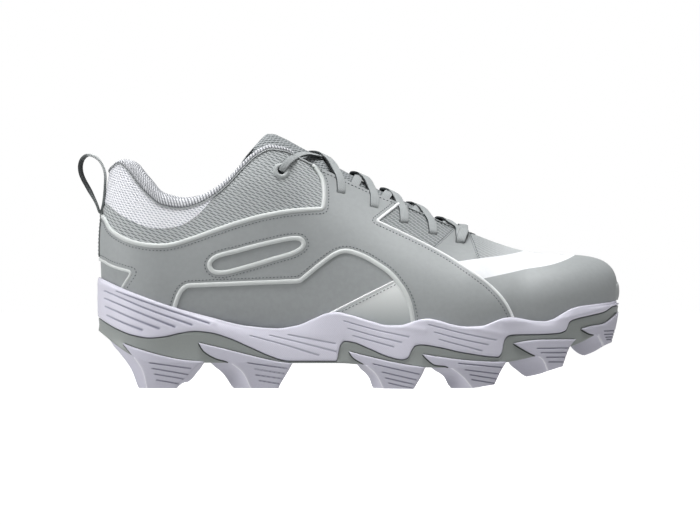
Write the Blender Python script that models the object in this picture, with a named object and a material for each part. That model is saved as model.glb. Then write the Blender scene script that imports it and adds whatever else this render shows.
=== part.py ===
"""Low-cut moulded-stud field shoe, right foot, standing on its studs.

World frame: +X to the toe, +Y to the medial (inner) side, +Z up, metres.
Every table below is in millimetres with X measured from the back of the heel
and Z from the floor; ORIGIN_X / ORIGIN_Y then bring the part's box centre to 0.

The upper, the sole and the insole are all worked out on the same stations: the
half planes that fan round the heel axis, step along the last's centreline and
fan round the toe axis.
"""

import math

import bmesh
import bpy
import numpy as np

for old in list(bpy.data.objects):
    bpy.data.objects.remove(old)

# ---------------------------------------------------------------- named sizes
MM = 0.001
LENGTH = 270.0  # heel back to toe tip over the sole
ORIGIN_X = 130.0  # centre of the part's box, pull loop included
ORIGIN_Y = 0.41
WALL = 1.8  # upper: knitted mesh, foam and skin together
GAP = 0.35  # clearance between neighbouring pieces
SEAT = 0.5  # clearance between midsole and plate
PLATE = 2.6  # outsole plate thickness
INSOLE = 3.8

HEEL_AXIS = (34.0, 0.0)
TOE_AXIS = (222.0, 8.0)
HEEL_ARC = 52.0  # station length of a quarter turn round the heel
TOE_ARC = 66.0  # and round the toe
SPAN = TOE_AXIS[0] - HEEL_AXIS[0]
HALF = HEEL_ARC + SPAN + TOE_ARC


# ---------------------------------------------------------------- interpolation
def pchip(xs, ys):
    """Monotone cubic through the points, flat past the ends."""
    xs, ys = np.asarray(xs, float), np.asarray(ys, float)
    h, d = np.diff(xs), np.diff(ys) / np.diff(xs)
    m = np.zeros(len(xs))
    for i in range(1, len(xs) - 1):
        if d[i - 1] * d[i] > 0:
            w1, w2 = 2 * h[i] + h[i - 1], h[i] + 2 * h[i - 1]
            m[i] = (w1 + w2) / (w1 / d[i - 1] + w2 / d[i])
    m[0], m[-1] = d[0], d[-1]

    def f(x):
        x = np.clip(np.asarray(x, float), xs[0], xs[-1])
        i = np.clip(np.searchsorted(xs, x) - 1, 0, len(h) - 1)
        t = (x - xs[i]) / h[i]
        return (
            ys[i] * (1 + 2 * t) * (1 - t) ** 2
            + m[i] * h[i] * t * (1 - t) ** 2
            + ys[i + 1] * t * t * (3 - 2 * t)
            + m[i + 1] * h[i] * t * t * (t - 1)
        )

    return f


def loop_spline(xs, ys, period):
    """Cubic spline round a closed loop."""
    xs, ys = np.asarray(xs, float), np.asarray(ys, float)
    n = len(xs)
    h = np.diff(np.append(xs, xs[0] + period))
    d = (np.roll(ys, -1) - ys) / h
    a = np.zeros((n, n))
    b = np.zeros(n)
    for i in range(n):
        p = (i - 1) % n
        a[i, p] += h[i]
        a[i, i] += 2 * (h[p] + h[i])
        a[i, (i + 1) % n] += h[p]
        b[i] = 3 * (h[i] * d[p] + h[p] * d[i])
    m = np.linalg.solve(a, b)

    def f(x):
        x = np.mod(np.asarray(x, float) - xs[0], period) + xs[0]
        i = np.clip(np.searchsorted(xs, x, side="right") - 1, 0, n - 1)
        j = (i + 1) % n
        t = (x - xs[i]) / h[i]
        return (
            ys[i] * (1 + 2 * t) * (1 - t) ** 2
            + m[i] * h[i] * t * (1 - t) ** 2
            + ys[j] * t * t * (3 - 2 * t)
            + m[j] * h[i] * t * t * (t - 1)
        )

    return f


# ---------------------------------------------------------------- the last
def mark(kind, value):
    """Station length of a row: heel angle, X on the centreline, or toe angle."""
    if kind == "heel":
        return HEEL_ARC * (180.0 - value) / 90.0
    if kind == "x":
        return HEEL_ARC + value - HEEL_AXIS[0]
    return HEEL_ARC + SPAN + TOE_ARC * (90.0 - value) / 90.0


# Sections of the upper, from the heel's back to the toe's tip. Radii run from
# the station's axis: foot = feather edge, wide = widest, _l lateral, _m medial.
# wide_z = height of the widest point, rise and flat = fullness of the shoulder,
# lip = thickness of the midsole's rim there, sole = outline outside the upper.
SECTIONS = [
    # kind, at,  foot_l, wide_l, foot_m, wide_m, wide_z, rise, flat, lip, sole
    ("heel", 180, 29.2, 32.3, 29.2, 32.3, 72.0, 0.42, 0.33, 1.6, 1.7),
    ("heel", 135, 29.0, 33.0, 29.0, 33.0, 66.0, 0.42, 0.33, 2.0, 1.8),
    ("x", 34, 28.8, 33.0, 28.6, 32.8, 58.0, 0.42, 0.33, 2.3, 2.6),
    ("x", 60, 29.6, 34.4, 26.6, 31.8, 54.0, 0.42, 0.34, 2.3, 2.6),
    ("x", 85, 31.0, 36.8, 22.6, 30.0, 50.0, 0.45, 0.36, 2.3, 2.4),
    ("x", 110, 34.8, 40.6, 22.0, 29.8, 46.0, 0.50, 0.38, 2.3, 2.2),
    ("x", 135, 41.2, 45.6, 26.0, 32.0, 42.0, 0.52, 0.40, 2.3, 2.2),
    ("x", 160, 47.6, 51.0, 31.6, 35.8, 38.5, 0.54, 0.42, 2.3, 2.3),
    ("x", 185, 50.4, 53.6, 36.0, 39.4, 37.5, 0.55, 0.44, 2.3, 2.3),
    ("x", 205, 48.2, 51.4, 35.7, 39.1, 39.0, 0.60, 0.45, 2.2, 2.3),
    ("x", 222, 43.4, 47.0, 33.2, 36.8, 42.0, 0.66, 0.46, 2.1, 2.2),
    ("toe", 60, 41.9, 45.8, 34.9, 38.8, 45.0, 0.85, 0.46, 1.9, 2.0),
    ("toe", 30, 42.2, 46.2, 38.6, 42.6, 49.0, 1.05, 0.45, 1.6, 1.7),
    ("toe", 0, 42.2, 46.6, 42.2, 46.6, 52.0, 1.16, 0.45, 1.3, 1.4),
]

# The opening: collar, throat, then the ridge of the vamp (where half = 0).
# half = distance from the centreline, lean = angle of the wall at its edge.
OPENING = [
    # kind, at, z, half, lean
    ("heel", 180, 112.2, 27.9, 83),
    ("heel", 160, 113.8, 27.7, 83),
    ("heel", 145, 114.8, 27.5, 84),
    ("heel", 131, 113.6, 27.3, 84),
    ("heel", 120, 108.4, 27.3, 84),
    ("heel", 107, 101.6, 27.6, 84),
    ("x", 34, 95.8, 28.2, 84),
    ("x", 43, 94.0, 28.8, 83),
    ("x", 51, 96.0, 29.4, 81),
    ("x", 60, 100.6, 30.0, 79),
    ("x", 68, 107.2, 30.2, 77),
    ("x", 76, 114.8, 30.0, 74),
    ("x", 83, 120.2, 29.4, 70),
    ("x", 90, 122.4, 28.6, 66),
    ("x", 97, 121.6, 27.4, 62),
    ("x", 105, 118.2, 25.6, 57),
    ("x", 116, 113.2, 22.8, 50),
    ("x", 128, 107.6, 20.0, 44),
    ("x", 145, 99.8, 17.0, 38),
    ("x", 161, 93.4, 15.0, 34),
    ("x", 175, 87.2, 13.0, 30),
    ("x", 185, 83.0, 10.6, 24),
    ("x", 192, 80.6, 7.0, 14),
    ("x", 196, 79.2, 0.0, 0),
    ("x", 206, 75.4, 0.0, 0),
    ("x", 214, 72.8, 0.0, 0),
    ("x", 222, 70.7, 0.0, 0),
]
TOE_SLOPE = 0.20  # fall of the ridge where it meets the toe fan

CENTRE = pchip(
    [0, 34, 60, 85, 110, 135, 160, 185, 205, 222, 270],
    [0, 0, 0.3, 1.2, 2.8, 4.6, 6.2, 7.2, 7.8, 8.0, 8.0],
)
# footbed height, underside of the plate
FOOTBED = pchip(
    [0, 34, 60, 90, 120, 150, 185, 205, 222, 240, 255, 270],
    [33.5, 32.5, 30.5, 28.0, 26.0, 24.4, 23.8, 25.0, 27.6, 31.8, 36.6, 43.0],
)
BASE = pchip(
    [0, 5, 10, 17, 25, 34, 60, 125, 140, 155, 185, 200, 213, 230, 245, 258, 266, 270],
    [30.2, 26.4, 22.4, 17.8, 14.6, 13.6, 13.4, 13.4, 12.4, 11.2, 11.0, 12.0, 14.0, 17.8, 22.0, 28.2, 34.0, 38.6],
)
# depth of the step in the side where the plate wraps up round the midsole
FLANGE = pchip([0, 8, 20, 195, 210, 235, 255, 270], [1.8, 3.0, 5.0, 5.0, 3.6, 2.8, 2.0, 1.3])
# top edge of the midsole's side
RIM = [
    (0, 57.4), (17, 50.0), (39, 42.3), (58, 37.1), (78, 32.4), (93, 31.2),
    (103.5, 32.7), (112, 36.2), (119, 39.0), (124, 39.5), (130, 38.3),
    (141, 35.0), (150.5, 32.8), (156, 32.8), (162, 34.3), (167, 35.8),
    (171, 36.2), (176, 35.3), (183.5, 33.1), (191, 32.1), (198.6, 32.5),
    (204, 34.4), (210, 36.5), (214, 36.9), (219, 36.2), (226, 35.0),
    (231, 34.8), (235.5, 35.9), (241, 39.0), (246, 41.6), (250, 42.5),
    (257, 43.4), (265, 44.4), (270, 45.4),
]
# line between the midsole's side and the plate's side
STEP = [
    (0, 36.7), (3.3, 34.6), (10, 30.9), (18.5, 27.7), (27.5, 26.3), (35, 27.0),
    (43.5, 28.9), (51, 29.8), (58.5, 29.1), (68.5, 26.2), (79.5, 21.4),
    (90, 16.8), (96, 14.9), (100, 14.4), (123.6, 14.4), (125.6, 22.4),
    (128, 24.7), (131.5, 24.3), (140.5, 20.9), (150.5, 16.7), (157.5, 15.2),
    (160.4, 16.2), (162.6, 20.4), (164.2, 22.3), (167, 22.9), (177, 21.5),
    (187.5, 19.1), (193, 18.2), (201.5, 16.9), (206.5, 16.6), (208.6, 18.4),
    (210, 25.0), (211.8, 27.3), (214.5, 28.0), (226.5, 28.2), (238, 28.8),
    (242, 30.2), (244, 34.6), (246.4, 35.8), (254.5, 37.8), (262.4, 39.7),
    (267, 42.4), (270, 43.2),
]
rim_z = pchip(*zip(*RIM))
step_z = pchip(*zip(*STEP))

_marks = [mark(r[0], r[1]) for r in SECTIONS]
_loop_at = _marks + [2 * HALF - m for m in _marks[-2:0:-1]]


def _column(lateral, medial):
    return [r[lateral] for r in SECTIONS] + [r[medial] for r in SECTIONS[-2:0:-1]]


foot_r = loop_spline(_loop_at, _column(2, 4), 2 * HALF)
wide_r = loop_spline(_loop_at, _column(3, 5), 2 * HALF)
wide_z = loop_spline(_loop_at, _column(6, 6), 2 * HALF)
rise_k = loop_spline(_loop_at, _column(7, 7), 2 * HALF)
flat_k = loop_spline(_loop_at, _column(8, 8), 2 * HALF)
lip_w = loop_spline(_loop_at, _column(9, 9), 2 * HALF)
sole_w = loop_spline(_loop_at, _column(10, 10), 2 * HALF)

_open_at = [mark(r[0], r[1]) for r in OPENING]
_open_z = pchip(_open_at, [r[2] for r in OPENING])
_open_half = pchip(_open_at, [r[3] for r in OPENING])
_open_lean = pchip(_open_at, [r[4] for r in OPENING])


def along(s):
    """Distance from the heel's back along either side, and the side: -1 lateral."""
    return (s, -1.0) if s <= HALF else (2 * HALF - s, 1.0)


def station(s):
    """Axis point and outward direction of the half plane at s."""
    m, side = along(s)
    if m < HEEL_ARC:
        a = math.pi - math.pi / 2 * m / HEEL_ARC
        return HEEL_AXIS[0], HEEL_AXIS[1], math.cos(a), side * math.sin(a)
    if m <= HEEL_ARC + SPAN:
        x = HEEL_AXIS[0] + m - HEEL_ARC
        return x, float(CENTRE(x)), 0.0, side
    a = math.pi / 2 * (1 - (m - HEEL_ARC - SPAN) / TOE_ARC)
    return TOE_AXIS[0], TOE_AXIS[1], math.cos(a), side * math.sin(a)


def place(s, r, z):
    ax, ay, dx, dy = station(s)
    return np.array([ax + r * dx, ay + r * dy, z])


def edge_of(s):
    """(half, z, lean) of the opening's edge or of the ridge at s."""
    m, side = along(s)
    if m > HEEL_ARC + SPAN:
        a = math.pi / 2 * (1 - (m - HEEL_ARC - SPAN) / TOE_ARC)
        return 0.0, OPENING[-1][2], math.atan(TOE_SLOPE * math.cos(a))
    z = float(_open_z(m))
    if side > 0:  # the medial collar stands a little higher
        z += 1.2 * math.exp(-(((m - mark("x", 40)) / 22.0) ** 2))
    return float(_open_half(m)), z, math.radians(float(_open_lean(m)))


def section(s, q):
    """(r, z) of the upper's outer face at fraction q, 0 feather edge, 1 opening."""
    rf, rm, zm = float(foot_r(s)), float(wide_r(s)), float(wide_z(s))
    ax, ay, dx, dy = station(s)
    zf = float(FOOTBED(ax + rf * dx))
    re, ze, lean = edge_of(s)
    split = 0.24
    if q <= split:
        t = q / split
        h = zm - zf
        p = ((rf, zf), (rf + 0.75 * (rm - rf), zf + 0.18 * h), (rm, zm - 0.45 * h), (rm, zm))
    else:
        t = (q - split) / (1 - split)
        chord = math.hypot(rm - re, ze - zm)
        c = float(flat_k(s)) * chord
        p = (
            (rm, zm),
            (rm, zm + float(rise_k(s)) * (ze - zm)),
            (re + c * math.cos(lean), ze - c * math.sin(lean)),
            (re, ze),
        )
    w = ((1 - t) ** 3, 3 * t * (1 - t) ** 2, 3 * t * t * (1 - t), t**3)
    return sum(a * b[0] for a, b in zip(w, p)), sum(a * b[1] for a, b in zip(w, p))


def upper_point(s, q):
    return place(s, *section(s, q))


def upper_normal(s, q):
    """Outward normal of the upper's outer face."""
    d = 0.6
    du = upper_point((s + d) % (2 * HALF), q) - upper_point((s - d) % (2 * HALF), q)
    q0, q1 = max(q - 0.01, 0.0), min(q + 0.01, 1.0)
    dv = upper_point(s, q1) - upper_point(s, q0)
    n = np.cross(du, dv)
    n /= np.linalg.norm(n)
    ax, ay, dx, dy = station(s)
    return n if n[0] * dx + n[1] * dy + 0.3 * n[2] > 0 else -n


def radius_at(s, z):
    """Radius of the upper's outer face at height z, on its lower half."""
    qs = np.linspace(0, 0.6, 61)
    rz = np.array([section(s, q) for q in qs])
    return float(np.interp(z, rz[:, 1], rz[:, 0]))


# ---------------------------------------------------------------- mesh helpers
def material(name, colour, roughness, metallic=0.0):
    m = bpy.data.materials.new(name)
    m.use_nodes = True
    b = m.node_tree.nodes["Principled BSDF"]
    b.inputs["Base Color"].default_value = (*colour, 1.0)
    b.inputs["Roughness"].default_value = roughness
    b.inputs["Metallic"].default_value = metallic
    return m


def add_object(name, verts, faces, mat, smooth=40.0):
    """Object from points in table millimetres; doubles merged, normals outward."""
    bm = bmesh.new()
    made = [
        bm.verts.new(((p[0] - ORIGIN_X) * MM, (p[1] - ORIGIN_Y) * MM, p[2] * MM))
        for p in verts
    ]
    for f in faces:
        if len(set(f)) > 2:
            bm.faces.new([made[i] for i in f])
    bmesh.ops.remove_doubles(bm, verts=bm.verts, dist=0.00002)
    bmesh.ops.dissolve_degenerate(bm, edges=bm.edges, dist=0.000005)
    bmesh.ops.recalc_face_normals(bm, faces=bm.faces)
    mesh = bpy.data.meshes.new(name)
    bm.to_mesh(mesh)
    bm.free()
    mesh.shade_smooth()
    mesh.set_sharp_from_angle(angle=math.radians(smooth))
    mesh.materials.append(mat)
    obj = bpy.data.objects.new(name, mesh)
    bpy.context.scene.collection.objects.link(obj)
    return obj


def loft(name, rings, mat, closed=False, caps=True, smooth=40.0):
    """Solid through rings of equal point count; closed joins last to first."""
    n = len(rings[0])
    verts = [p for ring in rings for p in ring]
    faces = []
    count = len(rings)
    for i in range(count if closed else count - 1):
        a, b = i * n, ((i + 1) % count) * n
        for j in range(n):
            k = (j + 1) % n
            faces.append((a + j, a + k, b + k, b + j))
    if caps and not closed:
        faces.append(tuple(range(n))[::-1])
        faces.append(tuple((count - 1) * n + j for j in range(n)))
    return add_object(name, verts, faces, mat, smooth)


GREY = material("skin_grey", (0.36, 0.38, 0.38), 0.55)
MESH_GREY = material("mesh_grey", (0.40, 0.42, 0.43), 0.8)
WHITE = material("foam_white", (0.80, 0.80, 0.86), 0.5)
PLATE_GREY = material("plate_grey", (0.26, 0.29, 0.28), 0.5)
LINING = material("lining", (0.62, 0.63, 0.65), 0.9)
LACE = material("lace_grey", (0.40, 0.42, 0.43), 0.8)

# ---------------------------------------------------------------- stations used
_side = sorted(
    [HEEL_ARC * i / 6 for i in range(6)]
    + [mark("x", x) for x in (34, 43.5, 53, 62, 71, 80, 89, 96, 104, 112, 119, 123.6, 124.6, 125.6)]
    + [mark("x", x) for x in (131, 140, 149, 157.5, 162.6, 169, 177, 185, 190.5, 194, 196, 202, 208.6, 210, 215)]
    + [HEEL_ARC + SPAN + TOE_ARC * t for t in (0, 0.13, 0.26, 0.36, 0.42, 0.55, 0.7, 0.85, 1.0)]
)
STATIONS = _side + [2 * HALF - s for s in _side[-2:0:-1]]

# ---------------------------------------------------------------- upper
LEVELS = [0.0, 0.06, 0.14, 0.24, 0.37, 0.51, 0.66, 0.82, 1.0]


def build_upper():
    rows = [[upper_point(s, q) for q in LEVELS] for s in STATIONS]
    n, m = len(rows), len(LEVELS)
    verts = [p for row in rows for p in row]
    faces = []
    for i in range(n):
        a, b = i * m, ((i + 1) % n) * m
        for j in range(m - 1):
            faces.append((a + j, b + j, b + j + 1, a + j + 1))
    obj = add_object("upper", verts, faces, GREY)
    bm = bmesh.new()
    bm.from_mesh(obj.data)
    # an open sheet has no inside, so the side that faces away from the last is set here
    out = sum(
        (f.normal.y * (1 if f.calc_center_median().y > 0 else -1)) * f.calc_area()
        for f in bm.faces
    )
    if out < 0:
        bmesh.ops.reverse_faces(bm, faces=bm.faces)
    bm.to_mesh(obj.data)
    bm.free()
    wall = obj.modifiers.new("wall", "SOLIDIFY")
    wall.thickness = WALL * MM
    wall.offset = -1.0
    wall.use_even_offset = True
    wall.use_quality_normals = True
    return obj


build_upper()

# ---------------------------------------------------------------- sole
def outline(s):
    """Radius of the sole's side."""
    return float(wide_r(s)) + float(sole_w(s))


def core_top(x):
    return float(BASE(x)) + PLATE


def sole_numbers(s):
    ax, ay, dx, dy = station(s)
    big = outline(s)
    x = ax + big * dx
    return ax, dx, big, float(rim_z(x)), float(step_z(x)), float(FLANGE(x))


def midsole_ring(s):
    ax, dx, big, top, step, flange = sole_numbers(s)
    rf, lip = float(foot_r(s)), float(lip_w(s))
    zf = float(FOOTBED(ax + rf * dx))
    top = max(top, zf + 1.6)
    core = lambda r: core_top(ax + r * dx) + SEAT
    bed = lambda r: float(FOOTBED(ax + r * dx)) - GAP
    pts = [
        (0.0, core(0)),
        (0.5 * big, core(0.5 * big)),
        (big - flange - 1.0, core(big - flange - 1.0)),
        (big - flange, step),
        (big, step),
        (big + 0.1, step + 0.5 * (top - step)),
        (radius_at(s, top - 1.4) + GAP + lip, top - 1.4),
        (radius_at(s, top) + GAP + 0.55 * lip, top),
        (radius_at(s, top) + GAP, top - 0.1),
        (radius_at(s, zf + 0.62 * (top - zf)) + GAP, zf + 0.62 * (top - zf)),
        (radius_at(s, zf + 0.3 * (top - zf)) + GAP + 0.1, zf + 0.3 * (top - zf)),
        (radius_at(s, zf + 0.1 * (top - zf)) + GAP + 0.15, zf + 0.1 * (top - zf)),
        (rf + GAP + 0.1, zf - GAP),
        (0.72 * rf, bed(0.72 * rf)),
        (0.38 * rf, bed(0.38 * rf)),
        (0.0, bed(0)),
    ]
    return [place(s, r, z) for r, z in pts]


def plate_ring(s):
    ax, dx, big, top, step, flange = sole_numbers(s)
    core = core_top(ax + (big - flange) * dx)
    k = SEAT * max(-1.0, min(1.0, step - core))
    under = lambda r: float(BASE(ax + r * dx))
    pts = [
        (0.0, core_top(ax)),
        (0.5 * big, core_top(ax + 0.5 * big * dx)),
        (big - flange - 1.0 + k, core_top(ax + (big - flange - 1.0) * dx)),
        (big - flange + k, step - SEAT),
        (big - 0.1, step - SEAT),
        (big - 0.9, under(big - 0.9)),
        (0.84 * big, under(0.84 * big)),
        (0.66 * big, under(0.66 * big)),
        (0.4 * big, under(0.4 * big)),
        (0.0, under(0)),
    ]
    return [place(s, r, z) for r, z in pts]


def build_ring_solid(name, ring_of, mat, smooth=35.0, every=1):
    """Solid whose half sections all end on the centreline; no face is made there."""
    rings = [ring_of(s) for s in STATIONS[::every]]
    n = len(rings[0])
    verts = [p for ring in rings for p in ring]
    faces = []
    count = len(rings)
    for i in range(count):
        a, b = i * n, ((i + 1) % count) * n
        for j in range(n - 1):
            faces.append((a + j, a + j + 1, b + j + 1, b + j))
    return add_object(name, verts, faces, mat, smooth)


def insole_ring(s):
    ax, ay, dx, dy = station(s)
    r = float(foot_r(s)) - WALL - 1.0
    bed = lambda t: float(FOOTBED(ax + t * dx))
    return [
        place(s, 0.0, bed(0) + 0.1),
        place(s, 0.6 * r, bed(0.6 * r) + 0.1),
        place(s, r, bed(r) + 0.1),
        place(s, r + 0.2, bed(r) + INSOLE),
        place(s, 0.82 * r, bed(0.82 * r) + INSOLE - 0.5),
        place(s, 0.5 * r, bed(0.5 * r) + INSOLE - 0.6),
        place(s, 0.0, bed(0) + INSOLE - 0.6),
    ]


build_ring_solid("midsole", midsole_ring, WHITE)
build_ring_solid("outsole_plate", plate_ring, PLATE_GREY)
build_ring_solid("insole", insole_ring, LINING, every=2)

# ---------------------------------------------------------------- studs
# Side profile of each stud: rear edge and front edge at the plate and at the
# tip, the tip's heights at its rear and front, bow of the hollow rear face.
STUDS = [
    # name,   rear, front, tip_rear, tip_front, z_rear, z_front, bow
    ("heel_rear", 2.5, 55.5, 21.5, 41.5, 0.0, 0.0, -2.0),
    ("heel_front", 57.5, 100.0, 70.5, 93.0, 0.0, 0.0, 3.4),
    ("ball_rear", 130.0, 169.0, 143.0, 162.6, 0.0, 0.0, 3.4),
    ("ball_front", 170.5, 211.5, 182.6, 204.5, 0.0, 1.6, 3.4),
    ("tread", 213.0, 243.6, 221.5, 239.6, 5.8, 11.2, 1.6),
    ("toe", 246.0, 268.0, 251.0, 265.6, 16.8, 23.0, 1.0),
]
STUD_WIDTH_TOP, STUD_WIDTH_TIP = 17.0, 10.5
LATERAL_EDGE = pchip(
    *zip(*[(place(s, outline(s), 0)[0], -place(s, outline(s), 0)[1]) for s in _side])
)
MEDIAL_EDGE = pchip(
    *zip(*[(place(2 * HALF - s, outline(s if s in (0, HALF) else 2 * HALF - s), 0)[0],
            place(2 * HALF - s, outline(s if s in (0, HALF) else 2 * HALF - s), 0)[1]) for s in _side])
)


def build_stud(row, side):
    name, rear, front, tip_rear, tip_front, z_rear, z_front, bow = row
    edge = LATERAL_EDGE if side < 0 else MEDIAL_EDGE
    sign = -1.0 if side < 0 else 1.0
    levels = (0.0, 0.35, 0.7, 1.0)
    steps = 7 if rear < 20.0 or rear > 200.0 else 3
    verts, faces = [], []
    for k in levels:
        a = rear + (tip_rear - rear) * k + bow * math.sin(math.pi * k)
        b = front + (tip_front - front) * k
        for t in range(steps + 1):
            x = a + (b - a) * t / steps
            top = float(BASE(x)) - 0.5
            tip = z_rear + (z_front - z_rear) * t / steps
            z = top + (tip - top) * k
            y = float(edge(x)) - 1.2 - 1.6 * k
            wide = STUD_WIDTH_TOP + (STUD_WIDTH_TIP - STUD_WIDTH_TOP) * k
            inner = max(y - wide, sign * float(CENTRE(x)) + 2.0 + 2.0 * k)
            verts.append((x, sign * y, z))
            verts.append((x, sign * min(inner, y - 3.0), z))
    n = 2 * (steps + 1)
    for t in range(steps):  # top and tip, a strip of four-sided faces each
        for base in (0, (len(levels) - 1) * n):
            i = base + 2 * t
            faces.append((i, i + 1, i + 3, i + 2))
    for k in range(len(levels) - 1):
        i, j = k * n, (k + 1) * n
        for t in range(steps):
            c = 2 * t
            faces.append((i + c, i + c + 2, j + c + 2, j + c))
            faces.append((i + c + 1, i + c + 3, j + c + 3, j + c + 1))
        faces.append((i, i + 1, j + 1, j))
        faces.append((i + n - 2, i + n - 1, j + n - 1, j + n - 2))
    return add_object(
        f"stud_{name}_{'lateral' if side < 0 else 'medial'}", verts, faces, WHITE, 30.0
    )


for row in STUDS:
    build_stud(row, -1)
    build_stud(row, 1)


def build_centre_stud():
    """Low stud under the middle of the ball."""
    rings = []
    for k in (0.0, 0.5, 1.0):
        half_x, half_y = 9.5 - 3.0 * k, 9.0 - 3.0 * k
        ring = []
        for i in range(8):
            a = 2 * math.pi * (i + 0.5) / 8
            x, y = 152.0 + half_x * math.cos(a), 4.0 + half_y * math.sin(a)
            top = float(BASE(x)) - GAP
            ring.append((x, y, top + (1.5 - top) * k))
        rings.append(ring)
    return loft("stud_centre", rings, WHITE, smooth=30.0)


build_centre_stud()

# ---------------------------------------------------------------- collar lining
# Padded lining inside the collar with a rolled rim over the shell's edge.
# Section in the wall's own frame: out along its normal, up along the wall.
PADDING = pchip(
    [0, mark("x", 50), mark("x", 70), mark("x", 84), mark("x", 110)],
    [7.2, 6.2, 4.0, 1.9, 1.6],
)
PAD_DEPTH = pchip(
    [0, mark("x", 50), mark("x", 70), mark("x", 84), mark("x", 110)],
    [30.0, 28.0, 18.0, 4.0, 3.0],
)


def lining_ring(s):
    m, side = along(s)
    pad, depth = float(PADDING(m)), float(PAD_DEPTH(m))
    pts = []
    edge = upper_point(s, 1.0)
    total = 1.0
    below = upper_point(s, 0.9)
    step = np.linalg.norm(edge - below) / 0.1
    n1 = upper_normal(s, 0.995)
    up = edge - upper_point(s, 0.985)
    up /= np.linalg.norm(up)

    def inside(down, inset):
        q = max(0.3, total - down / step)
        return upper_point(s, q) - upper_normal(s, min(q, 0.99)) * inset

    back = WALL + 0.65
    pts.append(inside(depth, back))
    pts.append(inside(depth * 0.66, back))
    pts.append(inside(depth * 0.33, back))
    pts.append(inside(0.0, back) + up * 0.1)
    pts.append(edge - n1 * (back - 0.1) + up * (GAP + 0.25))
    pts.append(edge - n1 * 0.2 + up * (GAP + 0.2))
    pts.append(edge + n1 * 0.15 + up * 1.5)
    pts.append(edge - n1 * 0.9 + up * 2.9)
    pts.append(edge - n1 * (1.6 + 0.45 * pad) + up * 3.5)
    pts.append(edge - n1 * (back + 0.85 * pad) + up * 2.0)
    pts.append(inside(0.08 * depth, back + pad))
    pts.append(inside(0.5 * depth, back + 0.8 * pad))
    pts.append(inside(0.98 * depth, back + 0.8))
    return pts


_lining_side = [s for s in _side if s < mark("x", 100.0)] + [mark("x", 101.0)]
_lining_at = [2 * HALF - s for s in _lining_side[:0:-1]] + _lining_side
loft("collar_lining", [lining_ring(s) for s in _lining_at], LINING, smooth=60.0)

# ---------------------------------------------------------------- tongue
# Ridge of the tongue's top face, half width, fall of its sides, the direction
# of that fall (degrees back from straight down), thickness.
TONGUE = [
    # x, z, half, fall, back, thick
    (201.0, 74.6, 12.0, 2.4, 12, 2.2),
    (194.0, 76.9, 15.0, 4.2, 14, 2.6),
    (187.0, 80.6, 18.0, 7.0, 16, 2.8),
    (176.0, 87.0, 21.0, 9.6, 18, 3.0),
    (162.0, 94.4, 23.0, 11.6, 20, 3.2),
    (146.0, 102.0, 25.0, 14.0, 21, 3.6),
    (130.0, 110.2, 26.0, 15.4, 22, 4.2),
    (116.0, 118.4, 26.0, 16.4, 24, 5.0),
    (104.0, 125.2, 25.6, 17.0, 26, 5.4),
    (95.5, 129.8, 24.4, 17.0, 30, 5.2),
    (90.5, 131.8, 22.4, 15.5, 34, 4.4),
    (87.6, 131.9, 20.0, 13.0, 36, 2.6),
]


def build_tongue():
    rings = []
    cols = (-1.0, -0.8, -0.55, -0.28, 0.0, 0.28, 0.55, 0.8, 1.0)
    for i, (x, z, half, fall, back, thick) in enumerate(TONGUE):
        a, b = TONGUE[max(i - 1, 0)], TONGUE[min(i + 1, len(TONGUE) - 1)]
        tx, tz = b[0] - a[0], b[1] - a[1]
        length = math.hypot(tx, tz)
        nx, nz = tz / length, -tx / length  # up and forward
        back = math.radians(back)
        top, low = [], []
        for c in cols:
            y = float(CENTRE(x)) + c * half
            f = fall * abs(c) ** 2
            px, pz = x - f * math.sin(back), z - f * math.cos(back)
            t = thick * (1.0 - 0.45 * abs(c) ** 3)
            top.append((px, y, pz))
            low.append((px - nx * t, y - c * 0.9, pz - nz * t))
        rings.append(top + low[::-1])
    return loft("tongue", rings, MESH_GREY, smooth=60.0)


build_tongue()

# ---------------------------------------------------------------- laces
# Slots in the eyestay from the toe up, X on the shoe and distance down from the
# throat's edge, then the round eyelet in the collar.
SLOTS = [(186.5, 5.5), (175.0, 6.5), (162.0, 7.5), (147.0, 8.5), (129.5, 9.5)]
EYELET = (96.5, 9.5)
LAST_STOP = (102.6, 5.0)  # where the lace goes under the eyelet's rim
LACE_WIDTH, LACE_THICK = 6.4, 1.2


def on_wall(x, down, side):
    """Station and level of the point that far down the wall from the edge at x."""
    s = mark("x", x)
    s = s if side < 0 else 2 * HALF - s
    edge, below = upper_point(s, 1.0), upper_point(s, 0.9)
    return s, 1.0 - 0.1 * down / np.linalg.norm(edge - below)


def tongue_top(x, y):
    """Height of the tongue's top face over (x, y)."""
    line = []
    for rx, rz, half, fall, back, thick in TONGUE[::-1]:
        c = min(1.0, abs(y - float(CENTRE(rx))) / half)
        f = fall * c**2
        line.append((rx - f * math.sin(math.radians(back)), rz - f * math.cos(math.radians(back))))
    line = np.array(sorted(line))
    return float(np.interp(x, line[:, 0], line[:, 1]))


def lace_path(x0, down0, x1, down1, side):
    """Centreline of one lace from a slot over the tongue to the other side."""
    turn = 0.38 if x1 < 104.0 else 0.18  # where the edge is crossed

    def down_the_wall(xa, xb, down, share, on):
        out = []
        for k in (0.0, 0.5, 1.0):
            s, q = on_wall(xa + share * k * (xb - xa), down * (1.0 - k), on)
            out.append(upper_point(s, q) + upper_normal(s, min(q, 0.985)) * 1.6)
        return out

    near = down_the_wall(x0, x1, down0, 0.18, side)
    far = down_the_wall(x1, x0, down1, turn, -side)
    a, b = near[2], far[2]
    mid = []
    for t in (0.13, 0.32, 0.5, 0.68, 0.87):
        p = a + (b - a) * t
        p[2] = max(p[2] + 1.2 * (1.0 - (2 * t - 1) ** 2), tongue_top(p[0], p[1]) + 1.75)
        mid.append(p)
    return near + mid + far[::-1]


def instep_fall(p):
    return (tongue_top(p[0] + 5.0, p[1]) - tongue_top(p[0] - 5.0, p[1])) / 10.0


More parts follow.
